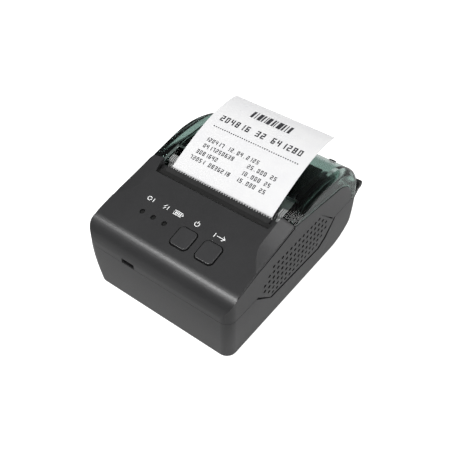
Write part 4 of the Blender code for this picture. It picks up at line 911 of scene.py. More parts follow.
def shoulderCutter(sign, front, rear):
    rings = []
    for station in range(shoulder["stations"] + 1):
        y = between(front, rear, (station / shoulder["stations"]) ** shoulder["bunching"])
        width, drop, ridge = shoulderAt(y)
        if y <= topEnd:
            ridge += shoulder["lead"] * (1 - drop / shoulder["drop"])
        tilt = drop / max(width, seam)
        inner = halfWidth - width - over
        start = ridge + tilt * over
        heights = (start, start - tilt * (widestHalf - inner), start + over)
        rings.append(outerRing(sign, inner, heights, y))
    return ringsMesh("shoulder_cutter", rings)


# A fine shadow line along the side, just under the top edge
def creaseCutter(sign):
    rings = []
    front = crease["front"]
    for station in range(shoulder["stations"] + 1):
        y = between(front, topEnd + seam, station / shoulder["stations"])
        drop, ridge = shoulderAt(y)[1:]
        high = ridge - drop - crease["below"]
        low = high - between(crease["frontHigh"], crease["high"], (y - front) / (topEnd - front))
        deep = crease["deep"] * min(1.0, (y - front) / crease["fadeIn"] + crease["least"])
        rings.append(outerRing(sign, halfWidth + sideFlare(low) - deep, (low, low, high), y))
    return ringsMesh("crease_cutter", rings)


# Floor of the dip ahead of the tear bar: it falls from a crisp front line and climbs to the bar
def troughFloor(x, first=0.0):
    into = max((abs(x) - trough["half"] + trough["slant"]) / trough["slant"], 0.0)
    start = between(trough["start"], trough["edge"] - trough["endStart"], into)
    foot = between(trough["low"], trough["edge"] - trough["endFoot"], into)
    points = []
    for step in range(trough["steps"] + 1):
        share = between(first, 1.0, step / trough["steps"])
        climbed = max(share - trough["lowest"], 0.0) / (1 - trough["lowest"])
        height = between(topHeight(start), trough["deepest"], eased(share / trough["lowest"]))
        height += (trough["rise"] - trough["deepest"]) * climbed
        points.append((between(start, foot, share), height))
    return points


def troughStations():
    steps = trough["endSteps"]
    plain = trough["half"] - trough["slant"]
    ends = [plain + trough["slant"] * step / steps for step in range(steps + 1)]
    return [-end for end in reversed(ends)] + ends


def troughCutter(ceiling):
    rings = []
    high = cover["top"] + over
    rear = topEnd + over
    for x in troughStations():
        section = troughFloor(x)
        start, foot = section[0][0], section[-1][0]
        section += [(foot + trough["nudge"], trough["height"]), (trough["edge"], trough["height"])]
        section += [(trough["edge"], ceiling - over), (rear, ceiling - over), (rear, high), (start, high)]
        rings.append(ringAt("X", section, x))
    return ringsMesh("trough_cutter", rings)


# A thin dark sheet laid in the dip: painted shade that darkens the dip
def buildDipShadeSheet():
    rings = []
    for x in troughStations()[1:-1]:
        upper = []
        lower = []
        for y, z in troughFloor(x, trough["trimFrom"]):
            thick = min(trough["trim"], trough["trimShare"] * (topHeight(y) - z))
            upper.append((y, z + thick))
            lower.append((y, z + trough["trimFoot"] * thick))
        rings.append(ringAt("X", upper + lower[::-1], x))
    return ringsMesh("slot_trim", rings)


def keyOutline(grow):
    halfX, halfS = keys["width"] / 2 + grow, keys["length"] / 2 + grow
    return centredRectangle(halfX, halfS, keys["corner"] + grow, keys["cornerSteps"])


# An outline round the charging port, as rings at two distances back
def portRings(outline, front, rear):
    return [ringAt("Y", [(usb["x"] + x, z) for x, z in outline], y) for y in (front, rear)]


def onTopEdge(point):
    if point.y > topEnd + over / 2 or point.y < 0.0:
        return False
    drop, ridge = shoulderAt(point.y)[1:]
    outside = abs(point.x) > halfWidth + sideFlare(point.z) - shoulder["near"]
    return outside and abs(point.z - (ridge - drop)) < shoulder["near"]


def buildUpperCase():
    low = split + seam
    outline = [(ahead, low)] + frontRoll(0.0) + [(topEnd, topHeight(topEnd)), (topEnd, fin["tip"])]
    outline += finEdge(0.0)[1:] + [(fin["rear"], low)] + gripOutline(0.0, low)[::-1]
    lid = cover["top"] + over
    piece = caseBlock("upper_shell", outline, 0.0, caseDepth, wall, lid)
    ceiling = trough["height"] - trough["wall"]
    underTop = ceiling + wall / math.cos(case["topSlope"])
    ceilingY = case["topStart"] + (underTop - case["topStartHeight"]) / math.tan(case["topSlope"])
    cavity = [(ahead, wall)] + frontRoll(wall) + [(ceilingY, ceiling), (topEnd, ceiling), (topEnd, lid)]
    cavity += [(caseDepth, lid), (caseDepth, wall)]
    combine(piece, caseBlock("upper_cavity", cavity, wall, caseDepth + over, 0.0, lid + over))
    for sign in (-1, 1):
        combine(piece, shoulderCutter(sign, shoulder["start"], topEnd + seam))
        combine(piece, creaseCutter(sign))
    combine(piece, troughCutter(ceiling))
    through = (-over, wall + over)
    for x in (keys["power"], keys["feed"]):
        hole = keyOutline(keys["gap"])
        centre = (x + keys["shift"], keys["y"] - keys["shift"])
        combine(piece, ringsMesh("key_hole", panelRings((hole, hole), centre, through)))
    bm = bmesh.new()
    hole = circlePoints((0.0, 0.0), lights["hole"], case["holeSteps"])
    for x in lights["xs"]:
        skinRings(bm, panelRings((hole, hole), (x, lights["y"]), through))
    combine(cleaned(piece), addMesh("light_holes", bm))
    half = usb["width"] / 2 + seam
    slot = roundedRectangle(
        (-half, usb["low"]), (half, usb["low"] + usb["height"] + 2 * seam), usb["slotCorner"],
        usb["slotSteps"],
    )
    combine(piece, ringsMesh("usb_slot", portRings(slot, ahead, wall + over)))
    for spot in fourPlaces(screws).values():
        top = low + screws["rearBoss"] if spot[1] > topEnd else topHeight(spot[1]) - wall
        combine(piece, rod("boss", spot, screws["boss"], low, top, "Z"), "UNION")
        combine(piece, rod("thread", spot, screws["shank"] + seam, low - over, low + screws["thread"], "Z"))
    roundEdges(piece, shoulder["round"], shoulder["roundSteps"], onTopEdge)
    for sign in (-1, 1):
        combine(piece, dimpleField(sign))
        combine(piece, gripScore(sign))
    return piece


# The lines where the outward tilt and the dip start stay crisp
def onTopCrease(point):
    if point.y > topEnd + seam or abs(point.z - topHeight(point.y)) > shoulder["near"]:
        return False
    width = shoulderAt(point.y)[0]
    tilted = abs(abs(point.x) - (halfWidth - width)) < shoulder["beside"] and width > seam
    return tilted or (abs(point.x) < trough["half"] and point.y > trough["start"] - seam)


dress(buildUpperCase(), charcoalUpper, "housing", ("upper_case",), 30, onTopCrease)
# The dip's dark sheet is painted shade
dress(buildDipShadeSheet(), trimPlastic, "housing", (), 50)
print("upper case built")


# Rounds the cover's long top edges, little at the front and generously round the back
def edgeEnvelope():
    path = coverOutline(0.0)
    path = [(topEnd - over, path[0][1])] + path + [(caseDepth, split - over)]
    rings = []
    for index, (y, z) in enumerate(path):
        along = directionAt(path, index)
        inward = Vector((along.y, -along.x))
        share = min(max((y - cover["crest"]) / cover["roundRun"], 0.0), 1.0)
        radius = between(cover["edgeRound"], cover["rearRound"], share * share * (3 - 2 * share))
        half = halfWidth + sideFlare(z) + cover["skin"]
        row = [(half, between(path[0][0], cover["rootRear"], index / (len(path) - 1)), cover["rootHeight"])]
        for x, depth in arcPoints((half - radius, radius), radius, 0, -math.pi / 2, cover["roundSteps"]):
            row.append((x, *(Vector((y, z)) + inward * (depth - cover["skin"]))))
        rings.append([Vector((-x, a, b)) for x, a, b in row] + [Vector(point) for point in row[::-1]])
    return ringsMesh("edge_envelope", rings)


def buildCover():
    low = split + seam
    lid = cover["top"] + over
    floor = low - over
    front = topEnd - over
    outline = coverOutline(0.0) + [(caseDepth, low), (topEnd + seam, low)]
    piece = caseBlock("cover_shell_skin", outline, 0.0, caseDepth, wall, lid)
    inside = coverOutline(cover["wall"])
    hollow = [(front, floor), (front, inside[0][1])] + inside + [(caseDepth - cover["wall"], floor)]
    combine(piece, prism("cover_middle", hollow, "X", -cover["slotHalf"], cover["slotHalf"]))
    ribOuter = cover["slotHalf"] + cover["rib"]
    wallInner = halfWidth - cover["wall"]
    deep = coverOutline(cover["wall"] + shoulder["drop"])
    sideHollow = [(front, floor), (front, deep[0][1])] + deep
    sideHollow += [(caseDepth - cover["wall"] - shoulder["drop"], floor)]
    shallow = coverOutline(cover["wall"] + cover["ribDepth"])
    underRib = [(front, floor), (front, cover["ribFoot"]), (cover["ribFootRear"], cover["ribFoot"])]
    underRib += [point for point in shallow if point[0] > cover["ribFootRear"] + cover["ribDepth"]]
    underRib += [(shallow[-1][0], floor)]
    gap = [(front, floor), (front, fin["tip"] + seam)] + finEdge(seam)[1:] + [(fin["rear"] + seam, floor)]
    for sign in (-1, 1):
        hollow = sidePrism("cover_side", sideHollow, sign, ribOuter, widestHalf)
        plan = casePlan("cover_side_plan", cover["wall"], caseDepth, 0.0, lid)
        combine(piece, combine(hollow, plan, "INTERSECT"))
        combine(piece, sidePrism("rib_trim", underRib, sign, cover["slotHalf"] - seam, wallInner))
        combine(piece, sidePrism("fin_gap", gap, sign, wallInner - seam, widestHalf))
        combine(piece, shoulderCutter(sign, topEnd + seam / 2, shoulder["end"]))
    cleaned(combine(piece, edgeEnvelope(), "INTERSECT"))
    outer = halfWidth - hinge["earInset"] - hinge["earWidth"] - seam
    inner = outer - hinge["knuckleWidth"]
    root = caseDepth - cover["wall"] / 2
    knuckle = [(root, hingeZ + 2 * hinge["knuckle"]), (root, hingeZ - hinge["knuckle"] / 2)]
    knuckle += arcPoints(
        hinge["spot"], hinge["knuckle"], -hinge["lowWrap"], hinge["highWrap"], hinge["steps"]
    )
    for sign in (-1, 1):
        combine(piece, sidePrism("knuckle", knuckle, sign, outer, inner), "UNION")
        combine(piece, sideRod("bore", hinge["spot"], hinge["pin"] + seam, sign, outer + over, inner - over))
        combine(piece, sideRod(
            "bush_seat", platen["centre"], platen["spigot"] + seam, sign, cover["slotHalf"] - over,
            ribOuter + seam,
        ))
    return combine(piece, boxBetween(
        "tear_slot", (-cover["slotHalf"], front, floor), (cover["slotHalf"], cover["slotRear"], lid)
    ))


dress(buildCover(), smokedPlastic, "cover", ("cover_shell",), 32)
print("cover built")


# Keys: a slightly dished cap with a rolled rim, its flange and its stem, each a closed shell
def buildKey(name, across):
    bm = bmesh.new()
    deep = wall + seam + keys["flange"]
    outlines = [keyOutline(0.0), keyOutline(0.0)]
    depths = [deep, keys["round"] - keys["proud"]]
    for step in range(1, keys["roundSteps"] + 1):
        angle = math.pi / 2 * step / keys["roundSteps"]
        outlines.append(keyOutline(-keys["round"] * (1 - math.cos(angle))))
        depths.append(keys["round"] * (1 - math.sin(angle)) - keys["proud"])
    rim = outlines[-1]
    for size, dish in keys["dish"]:
        outlines.append([(x * size, s * size) for x, s in rim])
        depths.append(dish - keys["proud"])
    flange = keyOutline(2 * seam + keys["flange"] / 2)
    stem = circlePoints((0.0, 0.0), keys["stem"], keys["stemSteps"])
    for shell, levels in (
        (outlines, depths), ((flange, flange), (wall + seam, deep - keys["lap"])),
        ((stem, stem), (deep - seam, keys["stemEnd"])),
    ):
        skinRings(bm, panelRings(shell, (across, keys["y"]), levels))
    return addMesh(name, bm)


for word in ("power", "feed"):
    dress(buildKey(word + "_key", keys[word]), charcoalKey, word + "_button", (word + "_button",))
print("keys built")

# The strip's middle line, as (distance back, height) shares of its reach and rise
strip = {
    "shares": (
        (0.000, 0.000), (0.014, 0.085), (0.115, 0.265), (0.265, 0.505),
        (0.420, 0.715), (0.580, 0.885), (0.740, 0.985), (0.890, 1.000), (1.000, 0.960),
    ),
    "startY": 0.04555, "startZ": 0.0440, "reach": 0.0500, "rise": 0.0145, "stepsEach": 8,
    "half": 0.0285, "columns": 12, "sheet": 0.00012, "markLift": 0.00004, "markStep": 0.0012,
}


# A smooth curve through all the points
def smoothLine(points, stepsEach):
    first = tuple(2 * a - b for a, b in zip(points[0], points[1]))
    last = tuple(2 * a - b for a, b in zip(points[-1], points[-2]))
    row = [first] + list(points) + [last]
    line = []
    for i in range(1, len(row) - 2):
        for step in range(stepsEach):
            t = step / stepsEach
            point = []
            for a, b, c, d in zip(row[i - 1], row[i], row[i + 1], row[i + 2]):
                cubic = -a + 3 * b - 3 * c + d
                square = 2 * a - 5 * b + 4 * c - d
                point.append((2 * b + (c - a) * t + square * t * t + cubic * t ** 3) / 2)
            line.append(tuple(point))
    return line + [points[-1]]


stripLine = smoothLine(
    [(strip["startY"] + run * strip["reach"], strip["startZ"] + rise * strip["rise"])
     for run, rise in strip["shares"]],
    strip["stepsEach"],
)
stripLengths = [0.0]
for before, after in zip(stripLine, stripLine[1:]):
    stripLengths.append(stripLengths[-1] + math.dist(before, after))


# A point on the strip at a distance along it, lifted off its middle line
def onStrip(x, along, lift):
    index = 0
    while index < len(stripLengths) - 2 and stripLengths[index + 1] < along:
        index += 1
    share = (along - stripLengths[index]) / (stripLengths[index + 1] - stripLengths[index])
    a, b = Vector(stripLine[index]), Vector(stripLine[index + 1])
    here = a.lerp(b, share)
    direction = (b - a).normalized()
    return Vector((x, here.x - direction.y * lift, here.y + direction.x * lift))


def buildStrip():
    columns = strip["columns"]
    xs = [between(-strip["half"], strip["half"], step / columns) for step in range(columns + 1)]
    rings = []
    for along in stripLengths:
        under = [onStrip(x, along, -strip["sheet"] / 2) for x in xs]
        rings.append(under + [onStrip(x, along, strip["sheet"] / 2) for x in reversed(xs)])
    return ringsMesh("receipt_strip", rings)


dress(buildStrip(), thermalPaper, "cover", ("paper_strip",), 60)


# A flat printed bar that follows the strip's curve
def printBar(bm, x0, x1, s0, s1):
    steps = max(1, math.ceil((s1 - s0) / strip["markStep"]))
    low, high = strip["sheet"] / 2, strip["sheet"] / 2 + strip["markLift"]
    corners = ((x0, low), (x1, low), (x1, high), (x0, high))
    rings = []
    for step in range(steps + 1):
        along = between(s0, s1, step / steps)
        rings.append([onStrip(x, along, lift) for x, lift in corners])
    skinRings(bm, rings)


# Seven-bar digits: which of top, top right, low right, foot, low left, top left, middle are printed
digitBars = {
    "0": (1, 1, 1, 1, 1, 1, 0), "1": (0, 1, 1, 0, 0, 0, 0), "2": (1, 1, 0, 1, 1, 0, 1),
    "3": (1, 1, 1, 1, 0, 0, 1), "4": (0, 1, 1, 0, 0, 1, 1), "5": (1, 0, 1, 1, 0, 1, 1),
    "6": (1, 0, 1, 1, 1, 1, 1), "7": (1, 1, 1, 0, 0, 0, 0), "8": (1, 1, 1, 1, 1, 1, 1),
    "9": (1, 1, 1, 1, 0, 1, 1),
}
# Each row gives its left end, its distance along the strip, its size and its figures
printing = {
    "digitWidth": 0.00120, "digitHeight": 0.0022, "stroke": 0.00040, "advance": 0.00182, "dotShare": 0.3,
    "barcode": (3, 2, 1, 2, 4, 1, 2, 2, 1, 1, 4, 2, 2, 1, 1, 2, 5, 1, 2, 2, 1, 2, 3),
    "barcodeX": (-0.0122, 0.0102), "barcodeS": (0.0420, 0.0470),
    "dashS": (0.0282, 0.0288), "dashX": (-0.0236, 0.0246), "dash": 0.00062, "dashGap": 0.00066,
    "rows": (
        (-0.0234, 0.0326, 1.62, "204816 32 641280"), (-0.0222, 0.0196, 1.0, "120417 12.04.2125"),
        (-0.0212, 0.0159, 1.0, "0417250638"), (0.0044, 0.0159, 1.0, "25.000 25"),
        (-0.0224, 0.0119, 1.0, "3081642"), (0.0037, 0.0119, 1.0, "10.000 25"),
        (-0.0236, 0.0081, 1.0, "72051 0836218"), (0.0034, 0.0081, 1.0, "15.000 25"),
    ),
}


def printDigits(bm, x, s, size, digits):
    w, h, t = (printing[word] * size for word in ("digitWidth", "digitHeight", "stroke"))
    shapes = (
        (0, w, h - t, h), (w - t, w, h / 2, h), (w - t, w, 0, h / 2), (0, w, 0, t),
        (0, t, 0, h / 2), (0, t, h / 2, h), (0, w, h / 2 - t / 2, h / 2 + t / 2),
    )
    for character in digits:
        if character == ".":
            dot = x + w * printing["dotShare"]
            printBar(bm, dot, dot + t, s, s + t)
        elif character != " ":
            for shown, (x0, x1, s0, s1) in zip(digitBars[character], shapes):
                if shown:
                    printBar(bm, x + x0, x + x1, s + s0, s + s1)
        x += printing["advance"] * size


# Plain bars, a dashed rule and rows of figures, where the printed slip has its own
def buildPrinting():
    bm = bmesh.new()
    x, end = printing["barcodeX"]
    unit = (end - x) / sum(printing["barcode"])
    for index, wide in enumerate(printing["barcode"]):
        if index % 2 == 0:
            printBar(bm, x, x + wide * unit, *printing["barcodeS"])
        x += wide * unit
    x, end = printing["dashX"]
    while x < end:
        printBar(bm, x, x + printing["dash"], *printing["dashS"])
        x += printing["dash"] + printing["dashGap"]
    for row in printing["rows"]:
        printDigits(bm, *row)
    return addMesh("receipt_print", bm)


dress(buildPrinting(), thermalInk, "cover")
print("paper strip built")

tear = {
    "pitch": 0.0014, "tooth": 0.0013, "half": 0.0304, "thick": 0.0005, "deep": 0.0034,
    "tilt": math.radians(16), "tipY": 0.0448, "sharpen": 0.00015, "thinFrom": 0.45,
}


# Serrated bar: the teeth are thinned towards their tips
def buildTearBar():
    count = 2 * int(tear["half"] / tear["pitch"])
    start = -count * tear["pitch"] / 2
    along = Vector((0.0, math.cos(tear["tilt"]), math.sin(tear["tilt"])))
    normal = Vector((0.0, -math.sin(tear["tilt"]), math.cos(tear["tilt"])))
    tip = Vector((0.0, tear["tipY"], trough["height"] + seam))
    tip.z += tear["deep"] * math.sin(tear["tilt"])
    thick = tear["thick"]
    rings = []
    for lift, drawn in ((0.0, 0.0), (thick * tear["thinFrom"], 0.0), (thick, tear["sharpen"])):
        outline = [(start, -tear["deep"])]
        for index in range(count):
            outline.append((start + index * tear["pitch"], -tear["tooth"] - drawn))
            outline.append((start + (index + 0.5) * tear["pitch"], -drawn))
        outline += [(-start, -tear["tooth"] - drawn), (-start, -tear["deep"])]
        rings.append([tip + Vector((x, 0.0, 0.0)) + along * s + normal * lift for x, s in outline])
    return ringsMesh("tear_edge", rings)


dress(buildTearBar(), tearPlastic, "housing", ("tear_bar",), 25)


def buildRoller():
    radius, half = platen["radius"], platen["half"]
    profile = [(-half + run, radius - fall) for run, fall in platen["softEnd"]]
    profile += [(half - run, radius - fall) for run, fall in platen["softEnd"][::-1]]
    roller = turned("roller_sleeve", platen["centre"], profile, "X", platen["steps"])
    reach = half + over / 2
    return combine(roller, rod("bore", platen["centre"], platen["shaft"] + seam, -reach, reach))


dress(buildRoller(), platenRubber, "platen", ("platen_roller",))

# ribTo, grooveFrom, grooveTo and blockRib are shares of the width that one rib and groove take
bushLook = {
    "ribs": 4, "chamfer": 0.0002, "ribStart": 0.0001, "ribTo": 0.6, "grooveFrom": 0.68, "grooveTo": 0.95,
    "groove": 0.0003, "spigotRound": 0.0001, "steps": 40, "blockStart": 0.0003, "blockEnd": 0.0002,
    "blockRib": 0.62, "darkEnd": 0.0004,
    "ribOutline": ((0.0482, 0.0400), (0.0530, 0.0400), (0.0530, 0.0452), (0.0520, 0.0460),
                   (0.0490, 0.0456), (0.0482, 0.0446)),
    "block": ((0.0485, 0.0400), (0.0527, 0.0400), (0.0527, 0.0450), (0.0488, 0.0446)),
}


# Bushes: the pale ribbed ends that show beside the paper
def buildBush(name, sign):
    inner, outer = platen["half"] + seam, cover["slotHalf"] - seam
    rim = cover["slotHalf"] + cover["rib"]
    radius, spigot = platen["bush"], platen["spigot"]
    width = (outer - inner) / bushLook["ribs"]
    profile = [(inner, radius - bushLook["chamfer"])]
    for rib in range(bushLook["ribs"]):
        x = inner + rib * width
        profile += [(x + bushLook["ribStart"], radius), (x + width * bushLook["ribTo"], radius)]
        for share in (bushLook["grooveFrom"], bushLook["grooveTo"]):
            profile.append((x + width * share, radius - bushLook["groove"]))
    profile += [
        (outer, radius - bushLook["chamfer"]), (outer, spigot), (rim - bushLook["spigotRound"], spigot),
        (rim, spigot - bushLook["spigotRound"]),
    ]
    bush = turned(name, platen["centre"], [(sign * x, r) for x, r in profile], "X", bushLook["steps"])
    near = inner + bushLook["blockStart"]
    for rib in range(bushLook["ribs"]):
        x = near + rib * width
        outline = bushLook["ribOutline"]
        combine(bush, sidePrism("block_rib", outline, sign, x, x + width * bushLook["blockRib"]), "UNION")
    far = outer - bushLook["blockEnd"]
    combine(bush, sidePrism("block", bushLook["block"], sign, near, far), "UNION")
    bore = sideRod("bore", platen["centre"], platen["shaft"] + seam, sign, inner - over / 2, halfWidth)
    return combine(bush, bore)


# The end of each bush that turns in the cover takes the black material
for side, sign in leftRight:
    bush = buildBush("bush_ribbed_" + side, sign)
    dress(bush, bushPlastic, "cover", ("platen_bush_" + side,))
    bush.data.materials.append(blackMould)
    for face in bush.data.polygons:
        if abs(face.center.x) > cover["slotHalf"] - bushLook["darkEnd"]:
            face.material_index = 1
print("roller and bushes built")

roll = {
    "radius": 0.0185, "core": 0.0068, "half": 0.0285, "soft": 0.0002, "looseStep": 0.00025, "steps": 96,
    "boreSteps": 64,
}


# Paper roll: soft rims at both ends and the loose step of its outer turn
def buildPaperRoll():
    half, soft, steps = roll["half"], roll["soft"], roll["steps"]
    rings = []
    for x, shrink in ((-half, soft), (-half + soft, 0.0), (half - soft, 0.0), (half, soft)):
        points = []
        for step in range(steps):
            angle = math.tau * step / steps
            radius = roll["radius"] - shrink - roll["looseStep"] * (step / steps)
            y, z = rollCentre
            points.append((y + radius * math.cos(angle), z + radius * math.sin(angle)))
        rings.append(ringAt("X", points, x))
    reach = half + over / 2
    bore = rod("bore", rollCentre, roll["core"], -reach, reach, steps=roll["boreSteps"])
    return combine(ringsMesh("wound_roll", rings), bore)


dress(buildPaperRoll(), woundPaper, "roll", ("paper_roll",), 30)
print("paper roll built")

# The bin's curved wall and its two guide plates; the keeper lips lie between the two lip depths
# under the cover's inner face, and a web carries each on its plate, along the lip's line without
# its first and last few points
binLook = {
    "centre": (0.0780, 0.0245), "radius": 0.0200, "wall": 0.0022, "wallSteps": 56, "plate": 0.0012,
    "arch": 0.0205, "archSteps": 40, "front": math.radians(168), "rear": math.radians(15),
    "inner": 0.0292, "round": 0.00018, "roundSteps": 2, "roundAbove": 0.030, "roundAngle": 40,
    "lipFront": 0.0580, "lipRear": 0.0840, "lipInner": 0.0215, "lipDepths": (0.0006, 0.0014),
    "webBack": 0.004, "webLap": 0.0004, "webFoot": 0.0430, "webFirst": 3, "webLast": 2,
}


def buildBin():
    centre, radius = binLook["centre"], binLook["radius"]
    back, outer = radius + binLook["wall"], binLook["inner"] + binLook["plate"]
    turns = (binLook["front"], math.tau + binLook["rear"], binLook["wallSteps"])
    arch = arcPoints(centre, binLook["arch"], binLook["rear"], binLook["front"], binLook["archSteps"])
    piece = prism("paper_guides", arcPoints(centre, back, *turns) + arch, "X", -outer, outer)
    high = centre[1] + back + over
    hollow = arcPoints(centre, radius, *turns) + [(centre[0] + back, high), (centre[0] - back, high)]
    hollow.append((centre[0] - back, centre[1] + radius * math.sin(binLook["front"])))
    combine(piece, prism("bin_hollow", hollow, "X", -binLook["inner"], binLook["inner"]))
    roundEdges(
        piece, binLook["round"], binLook["roundSteps"], lambda point: point.z > binLook["roundAbove"],
        binLook["roundAngle"],
    )
    return piece


# Keeper lips turn in from both guides, close under the cover
def buildLip(name, sign):
    front, rear = binLook["lipFront"], binLook["lipRear"]
    line, under = (
        [spot for spot in coverOutline(cover["wall"] + deep) if front < spot[0] < rear]
        for deep in binLook["lipDepths"]
    )
    outer = binLook["inner"] + binLook["plate"]
    lip = sidePrism(name, line + under[::-1], sign, outer, binLook["lipInner"])
    start = line[0][0] + binLook["webBack"]
    top = line[binLook["webFirst"]:-binLook["webLast"]]
    web = [(start, line[0][1] - binLook["webLap"])] + top
    web += [(top[-1][0], binLook["webFoot"]), (start, binLook["webFoot"])]
    return combine(lip, sidePrism("lip_web", web, sign, binLook["inner"], outer), "UNION")


for side, sign in leftRight:
    dress(buildLip("keeper_lip_" + side, sign), blackMould, "housing")
dress(buildBin(), binPlastic, "housing", ("paper_bin",))
print("paper guides built")

# Crowns are rows of (distance from the end, how much smaller than the full radius)
footCrown = ((0.0, 0.0012), (0.00008, 0.0006), (0.0003, 0.00015), (0.0006, 0.0))
screwLook = {
    "crown": ((0.0, 0.0007), (0.0002, 0.0002), (0.0006, 0.0)), "point": 0.0006, "pointShare": 0.4,
    "crossArm": 0.0012, "crossHalf": 0.00026, "crossDeep": 0.0008, "steps": 32,
}


def buildFoot(name, spot):
    profile = [(-feet["proud"] + run, feet["radius"] - fall) for run, fall in footCrown]
    return turned(name, spot, profile + [(feet["recess"] - seam, feet["radius"])], "Z")


# Case screws: a pan head with a cross recess and a plain shank
def buildScrew(name, spot):
    head, shank = screws["head"], screws["shank"]
    neck, end = screws["sink"] - seam, screws["sink"] + screws["length"]
    low = neck - screws["headHeight"]
    profile = [(low + run, head - fall) for run, fall in screwLook["crown"]]
    profile += [(neck, head), (neck, shank), (end - screwLook["point"], shank)]
    profile.append((end, shank * screwLook["pointShare"]))
    piece = turned(name, spot, profile, "Z", screwLook["steps"])
    x, y = spot
    arms = (screwLook["crossArm"], screwLook["crossHalf"])
    for wide, deep in (arms, arms[::-1]):
        high = low + screwLook["crossDeep"]
        combine(piece, boxBetween("cross", (x - wide, y - deep, low - over / 2), (x + wide, y + deep, high)))
    return piece


for name, spot in fourPlaces(feet).items():
    dress(buildFoot("foot_pad_" + name, spot), footRubber, "housing", ("foot_" + name,))
for name, spot in fourPlaces(screws).items():
    dress(buildScrew("screw_" + name, spot), darkSteel, "housing", ("case_screw_" + name,))
print("feet and screws built")

doorLook = {
    "corner": 0.0010, "cornerSteps": 5, "round": 0.0002, "roundSteps": 2, "roundAngle": 60,
    "grooves": 3, "pitch": 0.0020, "grooveHalf": 0.0090, "grooveWidth": 0.0010, "grooveCorner": 0.00049,
    "grooveSteps": 6, "grooveDeep": 0.0004,
}


# Battery door: softened lower edges and three thumb grooves
def buildDoor():
    half = battery["half"] + battery["ledge"]
    front, rear = battery["front"] - battery["ledge"], battery["rear"] + battery["ledge"]
    outline = roundedRectangle((-half, front), (half, rear), doorLook["corner"], doorLook["cornerSteps"])
    piece = prism("battery_lid", outline, "Z", 0.0, battery["thick"])
    roundEdges(
        piece, doorLook["round"], doorLook["roundSteps"], lambda point: point.z < doorLook["round"],
        doorLook["roundAngle"],
    )
    half = doorLook["grooveHalf"]
    for index in range(doorLook["grooves"]):
        y = battery["front"] + index * doorLook["pitch"]
        corners = ((-half, y), (half, y + doorLook["grooveWidth"]))
        groove = roundedRectangle(*corners, doorLook["grooveCorner"], doorLook["grooveSteps"])
        combine(piece, prism("grip_groove", groove, "Z", -over, doorLook["grooveDeep"]))
    return piece


dress(buildDoor(), charcoalDoor, "battery_door", ("battery_door",))

pin = {
    "chamfer": 0.0002, "cap": 0.0021, "capGap": 0.00002, "brim": 0.0002, "dome": 0.0005, "domeSteps": 6,
    "steps": 28,
}


# Hinge pins: a plain shank and a black domed cap against the ear
def buildPin(name, sign):
    outer = halfWidth - hinge["earInset"]
    inner = outer - hinge["earWidth"] - hinge["knuckleWidth"]
    profile = [(inner, hinge["pin"] - pin["chamfer"]), (inner + pin["chamfer"], hinge["pin"])]
    profile += [(outer, hinge["pin"]), (outer + pin["capGap"], pin["cap"])]
    for step in range(1, pin["domeSteps"]):
        angle = math.pi / 2 * step / pin["domeSteps"]
        x = outer + pin["brim"] + pin["dome"] * math.sin(angle)
        profile.append((x, pin["cap"] * math.cos(angle)))
    return turned(name, hinge["spot"], [(sign * x, r) for x, r in profile], "X", pin["steps"])


# The pads lie on the cover's back at an angle counted up its curve from the hinge's height, and
# start just below its face
stops = {
    "length": 0.0036, "height": 0.0018, "thick": 0.0005, "low": -0.0001, "x": 0.0277,
    "angle": math.radians(38), "sideShare": 0.7, "bevel": 0.0003, "corner": 0.0007, "cornerSteps": 5,
}


# Low rounded pads on the back of the cover
def buildStop(name, sign):
    reach, drop = caseDepth - cover["crest"], cover["top"] - hingeZ
    wide, tall = math.cos(stops["angle"]), math.sin(stops["angle"])
    y = cover["crest"] + reach * wide ** cover["bulge"]
    surface = Vector((sign * stops["x"], y, cover["top"] - drop * (1 - tall ** cover["bulge"])))
    normal = Vector((0.0, drop * wide, reach * tall)).normalized()
    along = Vector((0.0, -normal.z, normal.y))
    thick = stops["thick"]
    rings = []
    for lift, shrink in ((stops["low"], 0.0), (thick * stops["sideShare"], 0.0), (thick, stops["bevel"])):
        halfX, halfS = stops["length"] / 2 - shrink, stops["height"] / 2 - shrink
        outline = centredRectangle(halfX, halfS, stops["corner"], stops["cornerSteps"])
        rings.append([surface + Vector((x, 0, 0)) + along * s + normal * lift for x, s in outline])
    return ringsMesh(name, rings)


for side, sign in leftRight:
    dress(buildPin("hinge_cap_" + side, sign), blackMould, "housing", ("hinge_pin_" + side,))
for side, sign in leftRight:
    dress(buildStop("stop_pad_" + side, sign), stopRubber, "cover", ("cover_stop_" + side,))

# The tongue's numbers are its clearances from the shell's sides, front, rear and floor
socket = {
    "corner": 0.0007, "mouthCorner": 0.0005, "cornerSteps": 6, "sheet": 0.0003, "back": 0.0004,
    "tongueSide": 0.0011, "tongueFront": 0.0012, "tongueRear": 0.0002, "tongueLow": 0.0011,
    "tongueHigh": 0.0016,
}


# Charging socket: a folded shell with a round-cornered mouth and its contact tongue
def buildSocket():
    front, low = -case["frontFlare"] + seam, usb["low"] + seam
    rear, high = front + usb["deep"], low + usb["height"]
    half, sheet, steps = usb["width"] / 2, socket["sheet"], socket["cornerSteps"]
    outer = roundedRectangle((-half, low), (half, high), socket["corner"], steps)
    inner = roundedRectangle(
        (-half + sheet, low + sheet), (half - sheet, high - sheet), socket["mouthCorner"], steps
    )
    shell = ringsMesh("charge_socket", portRings(outer, front, rear))
    combine(shell, ringsMesh("mouth", portRings(inner, front - over / 2, rear - socket["back"])))
    half -= socket["tongueSide"]
    return combine(shell, boxBetween(
        "tongue", (usb["x"] - half, front + socket["tongueFront"], low + socket["tongueLow"]),
        (usb["x"] + half, rear - socket["tongueRear"], low + socket["tongueHigh"]),
    ), "UNION")


dress(buildSocket(), darkSteel, "housing", ("usb_socket",))
print("door, stops and socket built")

